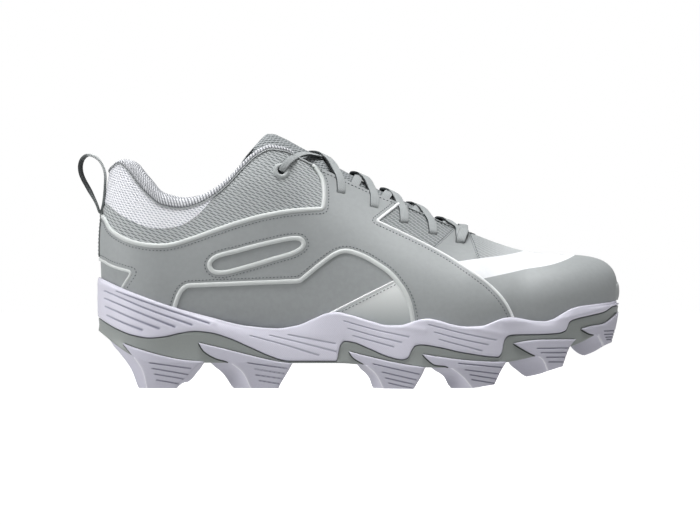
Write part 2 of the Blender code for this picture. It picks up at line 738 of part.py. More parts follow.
def ribbon(name, path, width, thick, mat, fall_at):
    """Flat strip along a path; its width lies down the instep, whose fall is fall_at(p)."""
    rings = []
    for i, p in enumerate(path):
        t = path[min(i + 1, len(path) - 1)] - path[max(i - 1, 0)]
        t = t / np.linalg.norm(t)
        w = np.array([1.0, 0.0, fall_at(p)])
        w -= t * np.dot(w, t)
        w /= np.linalg.norm(w)
        n = np.cross(t, w)
        n = n if n[2] > 0 else -n
        rings.append([
            p - w * width / 2 - n * thick / 2,
            p + w * width / 2 - n * thick / 2,
            p + w * width / 2 + n * thick / 2,
            p - w * width / 2 + n * thick / 2,
        ])
    return loft(name, rings, mat)


def union_all(first, others):
    """Joins the others into the first with Boolean unions."""
    for i, other in enumerate(others):
        mod = first.modifiers.new(f"join_{i}", "BOOLEAN")
        mod.operation = "UNION"
        mod.solver = "EXACT"
        mod.object = other
        other.hide_render = True
        other.display_type = "WIRE"


def build_laces():
    stops = SLOTS + [LAST_STOP]
    strips = []
    for i in range(len(stops) - 1):
        (x0, d0), (x1, d1) = stops[i], stops[i + 1]
        for side in (-1, 1):
            path = lace_path(x0, d0, x1, d1, side)
            strips.append(ribbon(f"lace_strip_{i}_{side}", path, LACE_WIDTH, LACE_THICK, LACE, instep_fall))
    (x0, d0) = stops[0]
    bar = lace_path(x0, d0, x0, d0, -1)
    strips.append(ribbon("lace_strip_bar", bar, LACE_WIDTH, LACE_THICK, LACE, instep_fall))
    laces = strips.pop()
    laces.name = "laces"
    union_all(laces, strips)


build_laces()


# ---------------------------------------------------------------- eyelets
def build_eyelet(side):
    s, q = on_wall(*EYELET, side)
    n = upper_normal(s, q)
    centre = upper_point(s, q) + n * 0.75
    u = np.array([1.0, 0, 0]) - n * n[0]
    u /= np.linalg.norm(u)
    v = np.cross(n, u)
    rings = []
    for i in range(14):
        a = 2 * math.pi * i / 14
        d = u * math.cos(a) + v * math.sin(a)
        rings.append([
            centre + d * 2.5,
            centre + d * 4.6,
            centre + d * 4.3 + n * 0.55,
            centre + d * 3.5 + n * 0.95,
            centre + d * 2.8 + n * 0.65,
        ])
    return loft(f"eyelet_{'lateral' if side < 0 else 'medial'}", rings, GREY, closed=True)


build_eyelet(-1)
build_eyelet(1)

# ---------------------------------------------------------------- pull loop
# Webbing: a teardrop of tape whose two ends are sewn down the heel's back.
LOOP = [
    (-0.6, 90.0), (2.2, 96.0), (2.6, 104.0), (3.2, 111.5), (2.4, 117.0),
    (-1.0, 120.6), (-5.0, 121.4), (-8.8, 118.4), (-9.8, 113.0), (-8.0, 106.0),
    (-5.0, 98.0), (-2.2, 92.5),
]
LOOP_WIDTH, LOOP_THICK = 9.0, 1.0


def build_loop():
    pts = [np.array([x, 0.0, z]) for x, z in LOOP]
    rings = []
    for i, p in enumerate(pts):
        t = pts[(i + 1) % len(pts)] - pts[i - 1]
        t /= np.linalg.norm(t)
        n = np.array([t[2], 0.0, -t[0]])
        y = np.array([0.0, LOOP_WIDTH / 2, 0.0])
        rings.append([p - n * LOOP_THICK / 2 - y, p + n * LOOP_THICK / 2 - y,
                      p + n * LOOP_THICK / 2 + y, p - n * LOOP_THICK / 2 + y])
    loop = loft("pull_loop", rings, GREY, closed=True)
    rings = []
    for z, thick in ((92.2, 3.4), (88.0, 2.6), (82.0, 1.3), (75.0, 1.3), (69.0, 1.3)):
        qs = np.linspace(0.24, 1.0, 60)
        rz = np.array([section(0.0, q) for q in qs])
        x = HEEL_AXIS[0] - float(np.interp(z, rz[:, 1], rz[:, 0])) - 0.45
        y = LOOP_WIDTH / 2
        rings.append([np.array([x, -y, z]), np.array([x, y, z]),
                      np.array([x - thick, y, z]), np.array([x - thick, -y, z])])
    tail = loft("pull_loop_tail", rings, GREY)
    union_all(loop, [tail])


build_loop()


# ---------------------------------------------------------------- toe guard
def build_toe_guard():
    """Moulded guard over the toe's tip, wrapped round to the medial side."""
    rings = []
    for i in range(11):
        t = i / 10
        s = HALF - 10.0 + 48.0 * t
        high = 46.9 + (9.0) * math.sin(math.pi * min(1.0, 0.18 + 0.82 * t)) ** 0.7
        ax, ay, dx, dy = station(s)
        low = max(float(rim_z(ax + outline(s) * dx)), float(FOOTBED(ax + float(foot_r(s)) * dx)) + 1.6) + GAP
        ring = []
        for z, out in ((low, 0.35), (0.5 * (low + high), 0.35), (high, 0.35), (high - 0.4, 1.2),
                       (0.5 * (low + high), 1.7), (low, 1.9)):
            ring.append(place(s, radius_at(s, z) + out, z))
        rings.append(ring)
    return loft("toe_guard", rings, GREY, smooth=50.0)


build_toe_guard()
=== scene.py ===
"""Looks of the field shoe: dense surfaces worked out from the last, panels cut
on them, piping, stitches, sole, studs, laces and the camera."""

import math

import bmesh
import bpy
import numpy as np
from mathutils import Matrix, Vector


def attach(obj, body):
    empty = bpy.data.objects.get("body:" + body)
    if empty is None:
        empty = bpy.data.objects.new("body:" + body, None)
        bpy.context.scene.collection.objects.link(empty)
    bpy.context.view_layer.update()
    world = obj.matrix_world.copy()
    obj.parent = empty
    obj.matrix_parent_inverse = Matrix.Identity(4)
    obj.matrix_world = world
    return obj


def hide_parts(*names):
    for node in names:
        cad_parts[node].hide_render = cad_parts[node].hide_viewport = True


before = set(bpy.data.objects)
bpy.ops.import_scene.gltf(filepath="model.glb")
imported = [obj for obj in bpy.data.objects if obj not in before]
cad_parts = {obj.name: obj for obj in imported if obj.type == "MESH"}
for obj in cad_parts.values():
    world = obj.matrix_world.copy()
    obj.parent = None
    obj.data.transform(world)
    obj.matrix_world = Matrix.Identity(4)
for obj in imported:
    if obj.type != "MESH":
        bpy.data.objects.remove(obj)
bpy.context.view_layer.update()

# Tables are in millimetres from the heel's back (X), the heel's middle (Y) and
# the floor (Z). Side drawings use a grid of PX millimetres.
ORIGIN = np.array([130.0, 0.41, 0.0])
PX, PX_X, PX_Z = 0.5163, 97.0, 388.5
WALL, GAP, SEAT, PLATE, INSOLE = 1.8, 0.35, 0.5, 2.6, 3.8
HEEL_AXIS, TOE_AXIS = (34.0, 0.0), (222.0, 8.0)
HEEL_ARC, TOE_ARC = 52.0, 66.0
SPAN = TOE_AXIS[0] - HEEL_AXIS[0]
HALF = HEEL_ARC + SPAN + TOE_ARC


def side_x(px):
    return (np.asarray(px, float) - PX_X) * PX


def side_z(pz):
    return (PX_Z - np.asarray(pz, float)) * PX


def drawn(P):
    """Where points fall on the side drawing."""
    return np.stack([P[..., 0] / PX + PX_X, PX_Z - P[..., 2] / PX], -1)


def metres(P):
    return (np.asarray(P, float) - ORIGIN) * 0.001


# ------------------------------------------------------------ interpolation
def pchip(xs, ys):
    xs, ys = np.asarray(xs, float), np.asarray(ys, float)
    h, d = np.diff(xs), np.diff(ys) / np.diff(xs)
    m = np.zeros(len(xs))
    for i in range(1, len(xs) - 1):
        if d[i - 1] * d[i] > 0:
            w1, w2 = 2 * h[i] + h[i - 1], h[i] + 2 * h[i - 1]
            m[i] = (w1 + w2) / (w1 / d[i - 1] + w2 / d[i])
    m[0], m[-1] = d[0], d[-1]

    def f(x):
        x = np.clip(np.asarray(x, float), xs[0], xs[-1])
        i = np.clip(np.searchsorted(xs, x) - 1, 0, len(h) - 1)
        t = (x - xs[i]) / h[i]
        return (
            ys[i] * (1 + 2 * t) * (1 - t) ** 2
            + m[i] * h[i] * t * (1 - t) ** 2
            + ys[i + 1] * t * t * (3 - 2 * t)
            + m[i + 1] * h[i] * t * t * (t - 1)
        )

    return f


def loop_spline(xs, ys, period):
    xs, ys = np.asarray(xs, float), np.asarray(ys, float)
    n = len(xs)
    h = np.diff(np.append(xs, xs[0] + period))
    d = (np.roll(ys, -1) - ys) / h
    a, b = np.zeros((n, n)), np.zeros(n)
    for i in range(n):
        p = (i - 1) % n
        a[i, p] += h[i]
        a[i, i] += 2 * (h[p] + h[i])
        a[i, (i + 1) % n] += h[p]
        b[i] = 3 * (h[i] * d[p] + h[p] * d[i])
    m = np.linalg.solve(a, b)

    def f(x):
        x = np.mod(np.asarray(x, float) - xs[0], period) + xs[0]
        i = np.clip(np.searchsorted(xs, x, side="right") - 1, 0, n - 1)
        j = (i + 1) % n
        t = (x - xs[i]) / h[i]
        return (
            ys[i] * (1 + 2 * t) * (1 - t) ** 2
            + m[i] * h[i] * t * (1 - t) ** 2
            + ys[j] * t * t * (3 - 2 * t)
            + m[j] * h[i] * t * t * (t - 1)
        )

    return f


def mark(kind, value):
    if kind == "heel":
        return HEEL_ARC * (180.0 - value) / 90.0
    if kind == "x":
        return HEEL_ARC + value - HEEL_AXIS[0]
    return HEEL_ARC + SPAN + TOE_ARC * (90.0 - value) / 90.0


def bend(points, n=8, closed=False):
    """Smooth curve through a few points."""
    p = np.asarray(points, float)
    if closed:
        q = np.vstack([p[-1], p, p[0], p[1]])
    else:
        q = np.vstack([2 * p[0] - p[1], p, 2 * p[-1] - p[-2]])
    out = []
    for i in range(1, len(q) - 2):
        a, b, c, d = q[i - 1 : i + 3]
        t = np.linspace(0, 1, n, endpoint=False)[:, None]
        l1, l2, l3 = (max(np.linalg.norm(v), 1e-9) ** 0.5 for v in (b - a, c - b, d - c))
        m1 = (c - b) + l2 * ((b - a) / l1 - (c - a) / (l1 + l2))
        m2 = (c - b) + l2 * ((d - c) / l3 - (d - b) / (l2 + l3))
        out.append(
            b * (1 + 2 * t) * (1 - t) ** 2
            + m1 * t * (1 - t) ** 2
            + c * t * t * (3 - 2 * t)
            + m2 * t * t * (t - 1)
        )
    if not closed:
        out.append(p[-1:])
    return np.vstack(out)


def evenly(P, step=None, count=None, extra=None, closed=False):
    """Points at equal spacing along a polyline, with other rows carried along."""
    P = np.asarray(P, float)
    if closed:
        P = np.vstack([P, P[:1]])
        if extra is not None:
            extra = np.vstack([extra, extra[:1]])
    d = np.concatenate([[0], np.cumsum(np.linalg.norm(np.diff(P, axis=0), axis=1))])
    if count is None:
        count = max(2, int(round(d[-1] / step)) + 1)
    t = np.linspace(0, d[-1], count)
    if closed:
        t = t[:-1]
    out = np.stack([np.interp(t, d, P[:, i]) for i in range(P.shape[1])], 1)
    if extra is None:
        return out
    return out, np.stack([np.interp(t, d, extra[:, i]) for i in range(extra.shape[1])], 1)


# ------------------------------------------------------------ the last
SECTIONS = [
    # kind, at,  foot_l, wide_l, foot_m, wide_m, wide_z, rise, flat, lip, sole
    ("heel", 180, 29.2, 32.3, 29.2, 32.3, 72.0, 0.42, 0.33, 1.6, 1.7),
    ("heel", 135, 29.0, 33.0, 29.0, 33.0, 66.0, 0.42, 0.33, 2.0, 1.8),
    ("x", 34, 28.8, 33.0, 28.6, 32.8, 58.0, 0.42, 0.33, 2.3, 2.6),
    ("x", 60, 29.6, 34.4, 26.6, 31.8, 54.0, 0.42, 0.34, 2.3, 2.6),
    ("x", 85, 31.0, 36.8, 22.6, 30.0, 50.0, 0.45, 0.36, 2.3, 2.4),
    ("x", 110, 34.8, 40.6, 22.0, 29.8, 46.0, 0.50, 0.38, 2.3, 2.2),
    ("x", 135, 41.2, 45.6, 26.0, 32.0, 42.0, 0.52, 0.40, 2.3, 2.2),
    ("x", 160, 47.6, 51.0, 31.6, 35.8, 38.5, 0.54, 0.42, 2.3, 2.3),
    ("x", 185, 50.4, 53.6, 36.0, 39.4, 37.5, 0.55, 0.44, 2.3, 2.3),
    ("x", 205, 48.2, 51.4, 35.7, 39.1, 39.0, 0.60, 0.45, 2.2, 2.3),
    ("x", 222, 43.4, 47.0, 33.2, 36.8, 42.0, 0.66, 0.46, 2.1, 2.2),
    ("toe", 60, 41.9, 45.8, 34.9, 38.8, 45.0, 0.85, 0.46, 1.9, 2.0),
    ("toe", 30, 42.2, 46.2, 38.6, 42.6, 49.0, 1.05, 0.45, 1.6, 1.7),
    ("toe", 0, 42.2, 46.6, 42.2, 46.6, 52.0, 1.16, 0.45, 1.3, 1.4),
]
OPENING = [
    # kind, at, z, half, lean
    ("heel", 180, 112.0, 27.9, 83),
    ("heel", 160, 114.6, 27.7, 83),
    ("heel", 145, 116.6, 27.5, 84),
    ("heel", 131, 112.8, 27.3, 84),
    ("heel", 120, 107.0, 27.3, 84),
    ("heel", 107, 100.6, 27.6, 84),
    ("x", 34, 94.5, 28.2, 84),
    ("x", 43, 93.2, 28.8, 83),
    ("x", 51, 94.9, 29.4, 81),
    ("x", 60, 99.5, 30.0, 79),
    ("x", 68, 106.0, 30.2, 77),
    ("x", 76, 114.6, 30.0, 74),
    ("x", 83, 120.9, 29.4, 70),
    ("x", 90, 123.8, 28.6, 66),
    ("x", 97, 122.8, 27.4, 62),
    ("x", 105, 118.8, 25.6, 57),
    ("x", 116, 113.2, 22.8, 50),
    ("x", 128, 107.6, 20.0, 44),
    ("x", 145, 99.8, 17.0, 38),
    ("x", 161, 93.4, 15.0, 34),
    ("x", 175, 87.2, 13.0, 30),
    ("x", 185, 83.0, 10.6, 24),
    ("x", 192, 80.6, 7.0, 14),
    ("x", 196, 79.2, 0.0, 0),
    ("x", 206, 75.4, 0.0, 0),
    ("x", 214, 72.8, 0.0, 0),
    ("x", 222, 70.7, 0.0, 0),
]
TOE_SLOPE = 0.20
CENTRE = pchip(
    [0, 34, 60, 85, 110, 135, 160, 185, 205, 222, 270],
    [0, 0, 0.3, 1.2, 2.8, 4.6, 6.2, 7.2, 7.8, 8.0, 8.0],
)
FOOTBED = pchip(
    [0, 34, 60, 90, 120, 150, 185, 205, 222, 240, 255, 270],
    [33.5, 32.5, 30.5, 28.0, 26.0, 24.4, 23.8, 25.0, 27.6, 31.8, 36.6, 43.0],
)
BASE = pchip(
    [0, 5, 10, 17, 25, 34, 60, 125, 140, 155, 185, 200, 213, 230, 245, 258, 266, 270],
    [30.2, 26.4, 22.4, 17.8, 14.6, 13.6, 13.4, 13.4, 12.4, 11.2, 11.0, 12.0, 14.0, 17.8, 22.0, 28.2, 34.0, 38.6],
)
FLANGE = pchip([0, 8, 20, 195, 210, 235, 255, 270], [1.8, 3.0, 5.0, 5.0, 3.6, 2.8, 2.0, 1.3])
RIM = [
    (0, 57.4), (17, 50.0), (39, 42.3), (58, 37.1), (78, 32.4), (93, 31.2),
    (103.5, 32.7), (112, 36.2), (119, 39.0), (124, 39.5), (130, 38.3),
    (141, 35.0), (150.5, 32.8), (156, 32.8), (162, 34.3), (167, 35.8),
    (171, 36.2), (176, 35.3), (183.5, 33.1), (191, 32.1), (198.6, 32.5),
    (204, 34.4), (210, 36.5), (214, 36.9), (219, 36.2), (226, 35.0),
    (231, 34.8), (235.5, 35.9), (241, 39.0), (246, 41.6), (250, 42.5),
    (257, 43.4), (265, 44.4), (270, 45.4),
]
STEP = [
    (0, 36.7), (3.3, 34.6), (10, 30.9), (18.5, 27.7), (27.5, 26.3), (35, 27.0),
    (43.5, 28.9), (51, 29.8), (58.5, 29.1), (68.5, 26.2), (79.5, 21.4),
    (90, 16.8), (96, 14.9), (100, 14.4), (123.6, 14.4), (125.6, 22.4),
    (128, 24.7), (131.5, 24.3), (140.5, 20.9), (150.5, 16.7), (157.5, 15.2),
    (160.4, 16.2), (162.6, 20.4), (164.2, 22.3), (167, 22.9), (177, 21.5),
    (187.5, 19.1), (193, 18.2), (201.5, 16.9), (206.5, 16.6), (208.6, 18.4),
    (210, 25.0), (211.8, 27.3), (214.5, 28.0), (226.5, 28.2), (238, 28.8),
    (242, 30.2), (244, 34.6), (246.4, 35.8), (254.5, 37.8), (262.4, 39.7),
    (267, 42.4), (270, 43.2),
]
rim_z, step_z = pchip(*zip(*RIM)), pchip(*zip(*STEP))

_marks = [mark(r[0], r[1]) for r in SECTIONS]
_at = _marks + [2 * HALF - m for m in _marks[-2:0:-1]]


def _column(l, m):
    return loop_spline(_at, [r[l] for r in SECTIONS] + [r[m] for r in SECTIONS[-2:0:-1]], 2 * HALF)


foot_r, wide_r, wide_z = _column(2, 4), _column(3, 5), _column(6, 6)
rise_k, flat_k, lip_w, sole_w = (_column(c, c) for c in (7, 8, 9, 10))
_open_at = [mark(r[0], r[1]) for r in OPENING]
_open_z = pchip(_open_at, [r[2] for r in OPENING])
_open_half = pchip(_open_at, [r[3] for r in OPENING])
_open_lean = pchip(_open_at, [r[4] for r in OPENING])


def along(s):
    s = np.asarray(s, float)
    return np.where(s <= HALF, s, 2 * HALF - s), np.where(s <= HALF, -1.0, 1.0)


def station(s):
    m, side = along(s)
    heel, toe = m < HEEL_ARC, m > HEEL_ARC + SPAN
    a = np.where(heel, np.pi - np.pi / 2 * m / HEEL_ARC, np.pi / 2)
    a = np.where(toe, np.pi / 2 * (1 - (m - HEEL_ARC - SPAN) / TOE_ARC), a)
    x = HEEL_AXIS[0] + np.clip(m - HEEL_ARC, 0, SPAN)
    ay = np.where(heel, HEEL_AXIS[1], np.where(toe, TOE_AXIS[1], CENTRE(x)))
    return x, ay, np.where(heel | toe, np.cos(a), 0.0), side * np.where(heel | toe, np.sin(a), 1.0)


def place(s, r, z):
    ax, ay, dx, dy = station(s)
    return np.stack(np.broadcast_arrays(ax + r * dx, ay + r * dy, z), -1)


def edge_of(s):
    m, side = along(s)
    toe = m > HEEL_ARC + SPAN
    a = np.pi / 2 * (1 - (m - HEEL_ARC - SPAN) / TOE_ARC)
    z = _open_z(m) + np.where(side > 0, 1.2 * np.exp(-(((m - mark("x", 40)) / 22.0) ** 2)), 0)
    z = np.where(toe, OPENING[-1][2], z)
    half = np.where(toe, 0.0, _open_half(m))
    lean = np.where(toe, np.arctan(TOE_SLOPE * np.cos(a)), np.radians(_open_lean(m)))
    return half, z, lean


SPLIT = 0.24


def section(s, q):
    s, q = np.broadcast_arrays(np.asarray(s, float), np.asarray(q, float))
    rf, rm, zm = foot_r(s), wide_r(s), wide_z(s)
    ax, ay, dx, dy = station(s)
    zf = FOOTBED(ax + rf * dx)
    re, ze, lean = edge_of(s)
    low = q <= SPLIT
    t = np.where(low, q / SPLIT, (q - SPLIT) / (1 - SPLIT))
    h = zm - zf
    c = flat_k(s) * np.hypot(rm - re, ze - zm)
    pr = (
        np.where(low, rf, rm),
        np.where(low, rf + 0.75 * (rm - rf), rm),
        np.where(low, rm, re + c * np.cos(lean)),
        np.where(low, rm, re),
    )
    pz = (
        np.where(low, zf, zm),
        np.where(low, zf + 0.18 * h, zm + rise_k(s) * (ze - zm)),
        np.where(low, zm - 0.45 * h, ze - c * np.sin(lean)),
        np.where(low, zm, ze),
    )
    w = ((1 - t) ** 3, 3 * t * (1 - t) ** 2, 3 * t * t * (1 - t), t**3)
    return sum(a * b for a, b in zip(w, pr)), sum(a * b for a, b in zip(w, pz))


def shell(s, q):
    s, q = np.broadcast_arrays(np.asarray(s, float), np.asarray(q, float))
    r, z = section(s, q)
    return place(s, r, z)


def shell_normal(s, q):
    s, q = np.broadcast_arrays(np.asarray(s, float), np.asarray(q, float))
    du = shell((s + 0.6) % (2 * HALF), q) - shell((s - 0.6) % (2 * HALF), q)
    dv = shell(s, np.minimum(q + 0.01, 1.0)) - shell(s, np.maximum(q - 0.01, 0.0))
    n = np.cross(du, dv)
    n /= np.maximum(np.linalg.norm(n, axis=-1, keepdims=True), 1e-9)
    ax, ay, dx, dy = station(s)
    flip = np.where(n[..., 0] * dx + n[..., 1] * dy + 0.3 * n[..., 2] > 0, 1.0, -1.0)
    return n * flip[..., None]


_QS = np.linspace(0, 0.6, 121)


def radius_at(s, z):
    """Radius of the upper's outer face at heights z (stations, heights)."""
    R, Z = section(np.asarray(s, float)[:, None], _QS[None, :])
    return np.stack([np.interp(z[i], Z[i], R[i]) for i in range(len(R))])


# ------------------------------------------------------------ mesh tools
def finish_mesh(name, V, F, mats, mat_of=None, smooth=40.0, uv=None, attrs=None, raw=False, weld=0.0):
    """Object from points in table millimetres; F is a list or array of faces."""
    me = bpy.data.meshes.new(name)
    faces = F.tolist() if isinstance(F, np.ndarray) else F
    me.from_pydata((np.asarray(V) if raw else metres(V)).tolist(), [], faces)
    for m in mats if isinstance(mats, (list, tuple)) else [mats]:
        me.materials.append(m)
    if mat_of is not None:
        me.polygons.foreach_set("material_index", np.asarray(mat_of, np.int32))
    if uv is not None:
        layer = me.uv_layers.new(name="UVMap")
        idx = np.empty(len(me.loops), np.int32)
        me.loops.foreach_get("vertex_index", idx)
        layer.data.foreach_set("uv", np.asarray(uv, np.float32)[idx].ravel())
    for k, v in (attrs or {}).items():
        me.attributes.new(k, "FLOAT", "POINT").data.foreach_set("value", np.asarray(v, np.float32))
    if weld:
        bm = bmesh.new()
        bm.from_mesh(me)
        bmesh.ops.remove_doubles(bm, verts=bm.verts, dist=weld)
        bmesh.ops.recalc_face_normals(bm, faces=bm.faces)
        bm.to_mesh(me)
        bm.free()
    me.update()
    me.shade_smooth()
    me.set_sharp_from_angle(angle=math.radians(smooth))
    ob = bpy.data.objects.new(name, me)
    bpy.context.scene.collection.objects.link(ob)
    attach(ob, "root")
    return ob


def recalc(ob):
    bm = bmesh.new()
    bm.from_mesh(ob.data)
    bmesh.ops.recalc_face_normals(bm, faces=bm.faces)
    bm.to_mesh(ob.data)
    bm.free()
    return ob


def grid_faces(n, m, wrap=False, flip=False):
    """Four-sided faces of an n by m grid; wrap joins the last row to the first."""
    i = np.arange(n if wrap else n - 1)[:, None]
    j = np.arange(m - 1)[None, :]
    a = i * m + j
    b = ((i + 1) % n) * m + j
    f = np.stack([a, b, b + 1, a + 1], -1).reshape(-1, 4)
    return f[:, ::-1] if flip else f


def ring_faces(n, m, wrap=False):
    """Faces of n rings of m points each, every ring closed."""
    i = np.arange(n if wrap else n - 1)[:, None]
    j = np.arange(m)[None, :]
    k = (j + 1) % m
    i2 = (i + 1) % n
    return np.stack([i * m + j, i2 * m + j, i2 * m + k, i * m + k], -1).reshape(-1, 4)


class Sheet:
    """Triangles with positions, normals and other values at their corners."""

    def __init__(self, V, T, data):
        self.V, self.T, self.data = V, T, data

    def value(self, key):
        return self.data[key]


def vertex_normals(V, T):
    n = np.cross(V[T[:, 1]] - V[T[:, 0]], V[T[:, 2]] - V[T[:, 0]])
    out = np.zeros_like(V)
    for k in range(3):
        np.add.at(out, T[:, k], n)
    return out / np.maximum(np.linalg.norm(out, axis=1, keepdims=True), 1e-12)


def true_distance(V, T, f):
    """A drawn distance turned into one measured along the surface."""
    e = [V[T[:, (k + 2) % 3]] - V[T[:, (k + 1) % 3]] for k in range(3)]
    n = np.cross(e[2], -e[1])
    area2 = np.maximum(np.linalg.norm(n, axis=1, keepdims=True), 1e-9)
    nn = n / area2
    g = sum(f[T[:, k]][:, None] * np.cross(nn, e[k]) for k in range(3)) / area2
    mag = np.linalg.norm(g, axis=1)
    acc, w = np.zeros(len(V)), np.zeros(len(V))
    for k in range(3):
        np.add.at(acc, T[:, k], mag * area2[:, 0])
        np.add.at(w, T[:, k], area2[:, 0])
    return f / np.clip(acc / np.maximum(w, 1e-9), 0.22, 1.4)


def clip(sheet, f):
    """The part of a sheet where f is positive, and the edges of the cut."""
    V, T, data = sheet.V, sheet.T, sheet.data
    f = np.where(np.abs(f) < 1e-7, 1e-7, f)
    inside = f > 0
    cnt = inside[T].sum(1)
    keep = [T[cnt == 3]]
    new_pairs = []

    def rolled(sel, want):
        t = T[sel]
        odd = np.argmax(inside[t] == want, axis=1)
        idx = (odd[:, None] + np.arange(3)[None, :]) % 3
        return np.take_along_axis(t, idx, 1)

    one, two = rolled(cnt == 1, True), rolled(cnt == 2, False)
    pairs = np.vstack([one[:, [0, 1]], one[:, [0, 2]], two[:, [0, 1]], two[:, [0, 2]]])
    if not len(pairs):
        used, inv = np.unique(T[cnt == 3], return_inverse=True)
        return Sheet(V[used], inv.reshape(-1, 3), {k: v[used] for k, v in data.items()}), np.zeros((0, 2), int)
    pairs.sort(axis=1)
    uniq, inv = np.unique(pairs, axis=0, return_inverse=True)
    inv = inv.ravel()
    t = f[uniq[:, 0]] / (f[uniq[:, 0]] - f[uniq[:, 1]])
    mix = lambda a: a[uniq[:, 0]] + (a[uniq[:, 1]] - a[uniq[:, 0]]) * (t[:, None] if a.ndim > 1 else t)
    allV = np.vstack([V, mix(V)])
    alld = {k: np.concatenate([v, mix(v)]) for k, v in data.items()}
    n0 = len(V)
    n1, n2 = len(one), len(two)
    a1, a2 = inv[:n1] + n0, inv[n1 : 2 * n1] + n0
    b1, b2 = inv[2 * n1 : 2 * n1 + n2] + n0, inv[2 * n1 + n2 :] + n0
    keep.append(np.stack([one[:, 0], a1, a2], 1))
    keep.append(np.stack([b1, two[:, 1], two[:, 2]], 1))
    keep.append(np.stack([b1, two[:, 2], b2], 1))
    cut = np.vstack([np.stack([a1, a2], 1), np.stack([b2, b1], 1)])
    allT = np.vstack(keep)
    used, inv2 = np.unique(allT, return_inverse=True)
    where = np.full(len(allV), -1)
    where[used] = np.arange(len(used))
    out = Sheet(allV[used], inv2.reshape(-1, 3), {k: v[used] for k, v in alld.items()})
    return out, where[cut]


def chains(cut):
    """Joins edges into lines; True marks a closed one."""
    nxt = {}
    for a, b in cut:
        if a != b:
            nxt.setdefault(int(a), []).append(int(b))
            nxt.setdefault(int(b), []).append(int(a))
    seen, out = set(), []
    ends = [k for k, v in nxt.items() if len(v) == 1]
    for start in ends + list(nxt):
        if start in seen:
            continue
        line, cur = [start], start
        seen.add(start)
        while True:
            more = [k for k in nxt[cur] if k not in seen]
            if not more:
                break
            cur = more[0]
            seen.add(cur)
            line.append(cur)
        closed = len(line) > 3 and line[0] in nxt[line[-1]]
        if len(line) > 2:
            out.append((np.array(line), closed))
    return out


def lines_on(sheet, f, level=0.0, where=None, smooth=1, step=1.0):
    """Lines on a sheet where f has a value: lists of (points, normals, closed)."""
    part, cut = clip(sheet, f - level)
    found = []
    for line, closed in chains(cut):
        P, N = part.V[line], part.data["N"][line]
        ok = np.ones(len(P), bool) if where is None else where(part, line)
        runs = []
        if ok.all():
            runs = [(P, N, closed)]
        else:
            idx = np.flatnonzero(ok)
            if len(idx):
                if closed:  # start the walk in a gap
                    shift = int(np.flatnonzero(~ok)[0])
                    P, N, ok = np.roll(P, -shift, 0), np.roll(N, -shift, 0), np.roll(ok, -shift)
                    idx = np.flatnonzero(ok)
                for run in np.split(idx, np.flatnonzero(np.diff(idx) > 1) + 1):
                    if len(run) > 3:
                        runs.append((P[run], N[run], False))
        for P2, N2, c in runs:
            length = np.linalg.norm(np.diff(P2, axis=0), axis=1).sum()
            if length < 3.0:
                continue
            P2, N2 = evenly(P2, step=step, extra=N2, closed=c)
            for _ in range(smooth):
                if c:
                    P2 = 0.5 * P2 + 0.25 * (np.roll(P2, 1, 0) + np.roll(P2, -1, 0))
                elif len(P2) > 2:
                    P2[1:-1] = 0.5 * P2[1:-1] + 0.25 * (P2[2:] + P2[:-2])
            N2 = N2 / np.linalg.norm(N2, axis=1, keepdims=True)
            found.append((P2, N2, c))
    return found


def tangents(P, closed):
    if closed:
        t = np.roll(P, -1, 0) - np.roll(P, 1, 0)
    else:
        t = np.gradient(P, axis=0)
    return t / np.maximum(np.linalg.norm(t, axis=1, keepdims=True), 1e-9)


class Bag:
    """Collects many small meshes into one object."""

    def __init__(self):
        self.V, self.F, self.n, self.uv = [], [], 0, []

    def add(self, V, F, uv=None):
        self.V.append(V)
        self.F += (np.asarray(F) + self.n).tolist() if isinstance(F, np.ndarray) else [[i + self.n for i in f] for f in F]
        self.uv.append(np.zeros((len(V), 2)) if uv is None else uv)
        self.n += len(V)

    def make(self, name, mat, smooth=60.0, **kw):
        return finish_mesh(name, np.vstack(self.V), self.F, mat, smooth=smooth, uv=np.vstack(self.uv), **kw)


def sweep(bag, P, N, closed, profile, lift=0.0, ends=True):
    """Profile (across, up) carried along a line lying on a surface."""
    t = tangents(P, closed)
    B = np.cross(t, N)
    B /= np.maximum(np.linalg.norm(B, axis=1, keepdims=True), 1e-9)
    pr = np.asarray(profile, float)
    k = len(pr)
    scale = np.ones(len(P))
    if not closed and ends:
        scale[0] = scale[-1] = 0.35
        if len(P) > 4:
            scale[1] = scale[-2] = 0.9
    V = (
        P[:, None, :]
        + B[:, None, :] * (pr[None, :, 0:1] * scale[:, None, None])
        + N[:, None, :] * (pr[None, :, 1:2] * scale[:, None, None] + lift)
    ).reshape(-1, 3)
    F = ring_faces(len(P), k, closed)
    d = np.concatenate([[0], np.cumsum(np.linalg.norm(np.diff(P, axis=0), axis=1))])
    uv = np.stack(np.broadcast_arrays(d[:, None], np.linspace(0, 6, k)[None, :]), -1).reshape(-1, 2)
    faces = F.tolist()
    if not closed:
        faces.append(list(range(k))[::-1])
        faces.append([(len(P) - 1) * k + j for j in range(k)])
    bag.add(V, faces, uv)


def dome(width, height, n=7, foot=0.3):
    a = np.linspace(0, np.pi, n)
    top = np.stack([-width / 2 * np.cos(a), height * np.sin(a)], 1)
    return np.vstack([top, [[width / 2 * 0.9, -foot], [-width / 2 * 0.9, -foot]]])[::-1]


